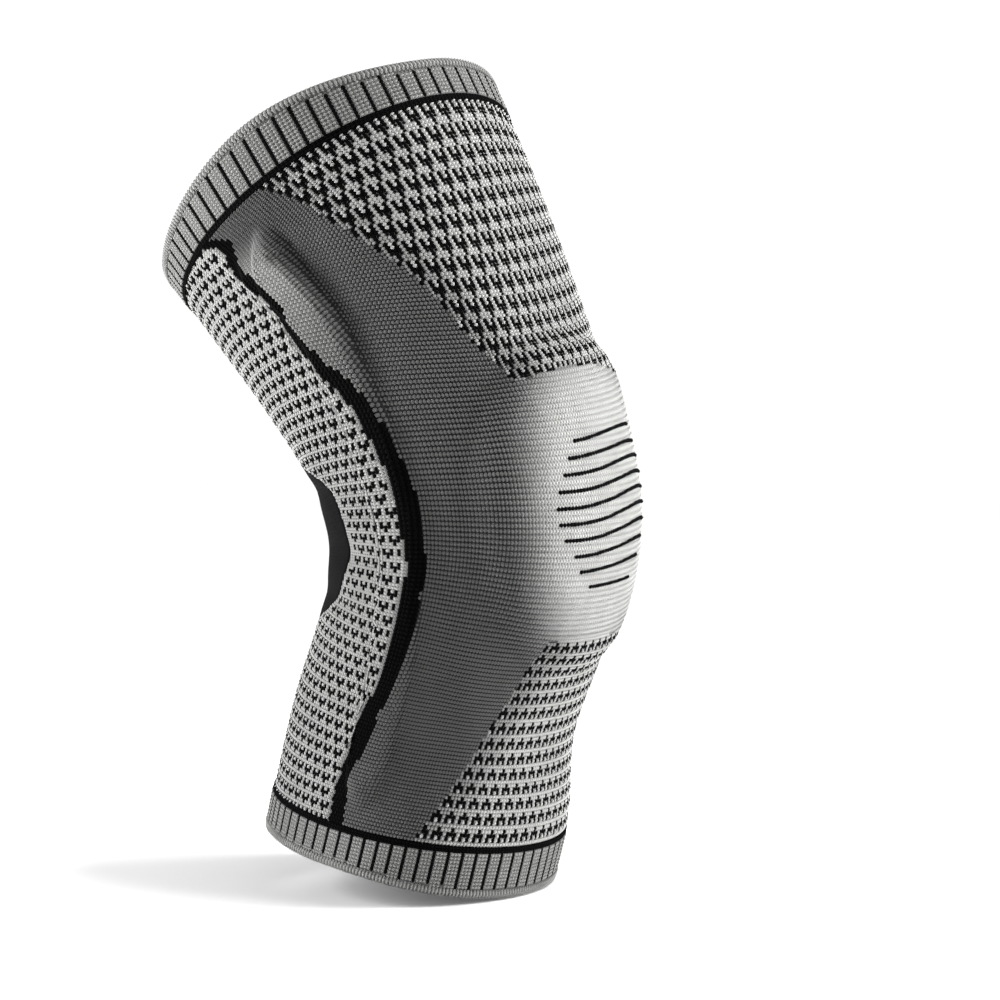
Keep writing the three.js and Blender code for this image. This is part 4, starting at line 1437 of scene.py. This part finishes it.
# %% Floor
FLOOR_LEVEL = -0.1312
FLOOR_HALF = 4.0
FLOOR_CORNERS = ((-1, -1), (1, -1), (1, 1), (-1, 1))


def floor():
    mesh = bpy.data.meshes.new("floor")
    corners = [(x * FLOOR_HALF, y * FLOOR_HALF, FLOOR_LEVEL) for x, y in FLOOR_CORNERS]
    mesh.from_pydata(corners, [], [(0, 1, 2, 3)])
    material, tree = blank_material("pale studio floor")
    place = grow(tree, "ShaderNodeTexCoord").outputs["Object"]
    grain = grow(tree, "ShaderNodeTexNoise", {"Vector": place, "Scale": 40.0})
    ends = {0: grain.outputs["Fac"], 6: linear("f7f7f7"), 7: linear("fafafa")}
    colour = grow(tree, "ShaderNodeMix", ends, data_type="RGBA")
    shader = grow(tree, "ShaderNodeBsdfPrincipled", {"Base Color": colour.outputs[2], "Roughness": 0.9})
    grow(tree, "ShaderNodeOutputMaterial", {"Surface": shader.outputs[0]})
    mesh.materials.append(material)
    piece = bpy.data.objects.new("floor", mesh)
    bpy.context.scene.collection.objects.link(piece)


floor()
print("floor at", FLOOR_LEVEL, "m")

# %% Camera
CAMERA_AZIMUTH = -57
CAMERA_ELEVATION = 2
CAMERA_DISTANCE = 0.885
CAMERA_TARGET = (0.0075, -0.008, 0.012)
CAMERA_LENS = 86.04
SENSOR_WIDTH = 36


def direction(azimuth, elevation):
    a, e = math.radians(azimuth), math.radians(elevation)
    return np.array([math.sin(a) * math.cos(e), -math.cos(a) * math.cos(e), math.sin(e)])


def look_from(thing, place, target):
    thing.location = place
    thing.rotation_mode = "QUATERNION"
    way = Vector(np.array(target) - np.array(place))
    thing.rotation_quaternion = way.to_track_quat("-Z", "Y")


camera_data = bpy.data.cameras.new("camera")
camera_data.sensor_width = SENSOR_WIDTH
camera_data.lens = CAMERA_LENS
camera = bpy.data.objects.new("camera", camera_data)
bpy.context.scene.collection.objects.link(camera)
standpoint = np.array(CAMERA_TARGET) + direction(CAMERA_AZIMUTH, CAMERA_ELEVATION) * CAMERA_DISTANCE
look_from(camera, standpoint, CAMERA_TARGET)
bpy.context.scene.camera = camera
print("camera at", standpoint.round(3))

# %% [markdown]
# Soft boxes to the left and the right brighten both edges and leave the middle darker, which is how
# the relief of knit shows. A wide lamp high on the right throws a soft shadow to the left. The room
# is white to the eye and gives less light than it shows, so that the black yarn stays black.

# %% Lamps
BOX_DISTANCE = 0.9
BOX_HEIGHT = 0.9


def soft_box(name, azimuth, elevation, width, power):
    data = bpy.data.lights.new(name, "AREA")
    data.shape = "RECTANGLE"
    data.size, data.size_y = width, BOX_HEIGHT
    data.energy = power
    lamp = bpy.data.objects.new(name, data)
    bpy.context.scene.collection.objects.link(lamp)
    look_from(lamp, direction(azimuth, elevation) * BOX_DISTANCE, (0, 0.02, 0.02))


def overhead_light(power, spread, azimuth, elevation):
    """Light from above the right side, soft enough for a blurred shadow on the floor."""
    data = bpy.data.lights.new("overhead light", "SUN")
    data.energy = power
    data.angle = math.radians(spread)
    lamp = bpy.data.objects.new("overhead light", data)
    bpy.context.scene.collection.objects.link(lamp)
    look_from(lamp, direction(azimuth, elevation), (0, 0, 0))


soft_box("left soft box", CAMERA_AZIMUTH - 90, 8, 0.3, 18)
soft_box("right soft box", CAMERA_AZIMUTH + 95, 12, 0.4, 20)
overhead_light(2.9, 18, CAMERA_AZIMUTH + 80, 74)
print("lamps:", len(bpy.data.lights))


# %% Light room
def light_room(backdrop, horizon, height, overhead):
    """White backdrop, which lights like walls up to a height in degrees and a dimmer ceiling."""
    world = bpy.data.worlds.new("light room")
    world.use_nodes = True
    tree = world.node_tree
    tree.nodes.clear()
    way = grow(tree, "ShaderNodeTexCoord").outputs["Generated"]
    rise = grow(tree, "ShaderNodeSeparateXYZ", {0: way}).outputs["Z"]
    low, high = math.sin(math.radians(height)), math.sin(math.radians(2.5 * height))
    strength = grow(tree, "ShaderNodeMapRange", {0: rise, 1: low, 2: high, 3: horizon, 4: overhead})
    white = (1, 1, 1, 1)
    glow = grow(tree, "ShaderNodeBackground", {"Color": white, "Strength": strength.outputs[0]})
    seen = grow(tree, "ShaderNodeBackground", {"Color": white, "Strength": backdrop})
    direct = grow(tree, "ShaderNodeLightPath").outputs["Is Camera Ray"]
    both = grow(tree, "ShaderNodeMixShader", {0: direct, 1: glow.outputs[0], 2: seen.outputs[0]})
    grow(tree, "ShaderNodeOutputWorld", {"Surface": both.outputs[0]})
    return world


bpy.context.scene.world = light_room(1.05, 0.42, 14, 0.2)
bpy.context.scene.view_settings.view_transform = "Standard"
print("world:", bpy.context.scene.world.name)
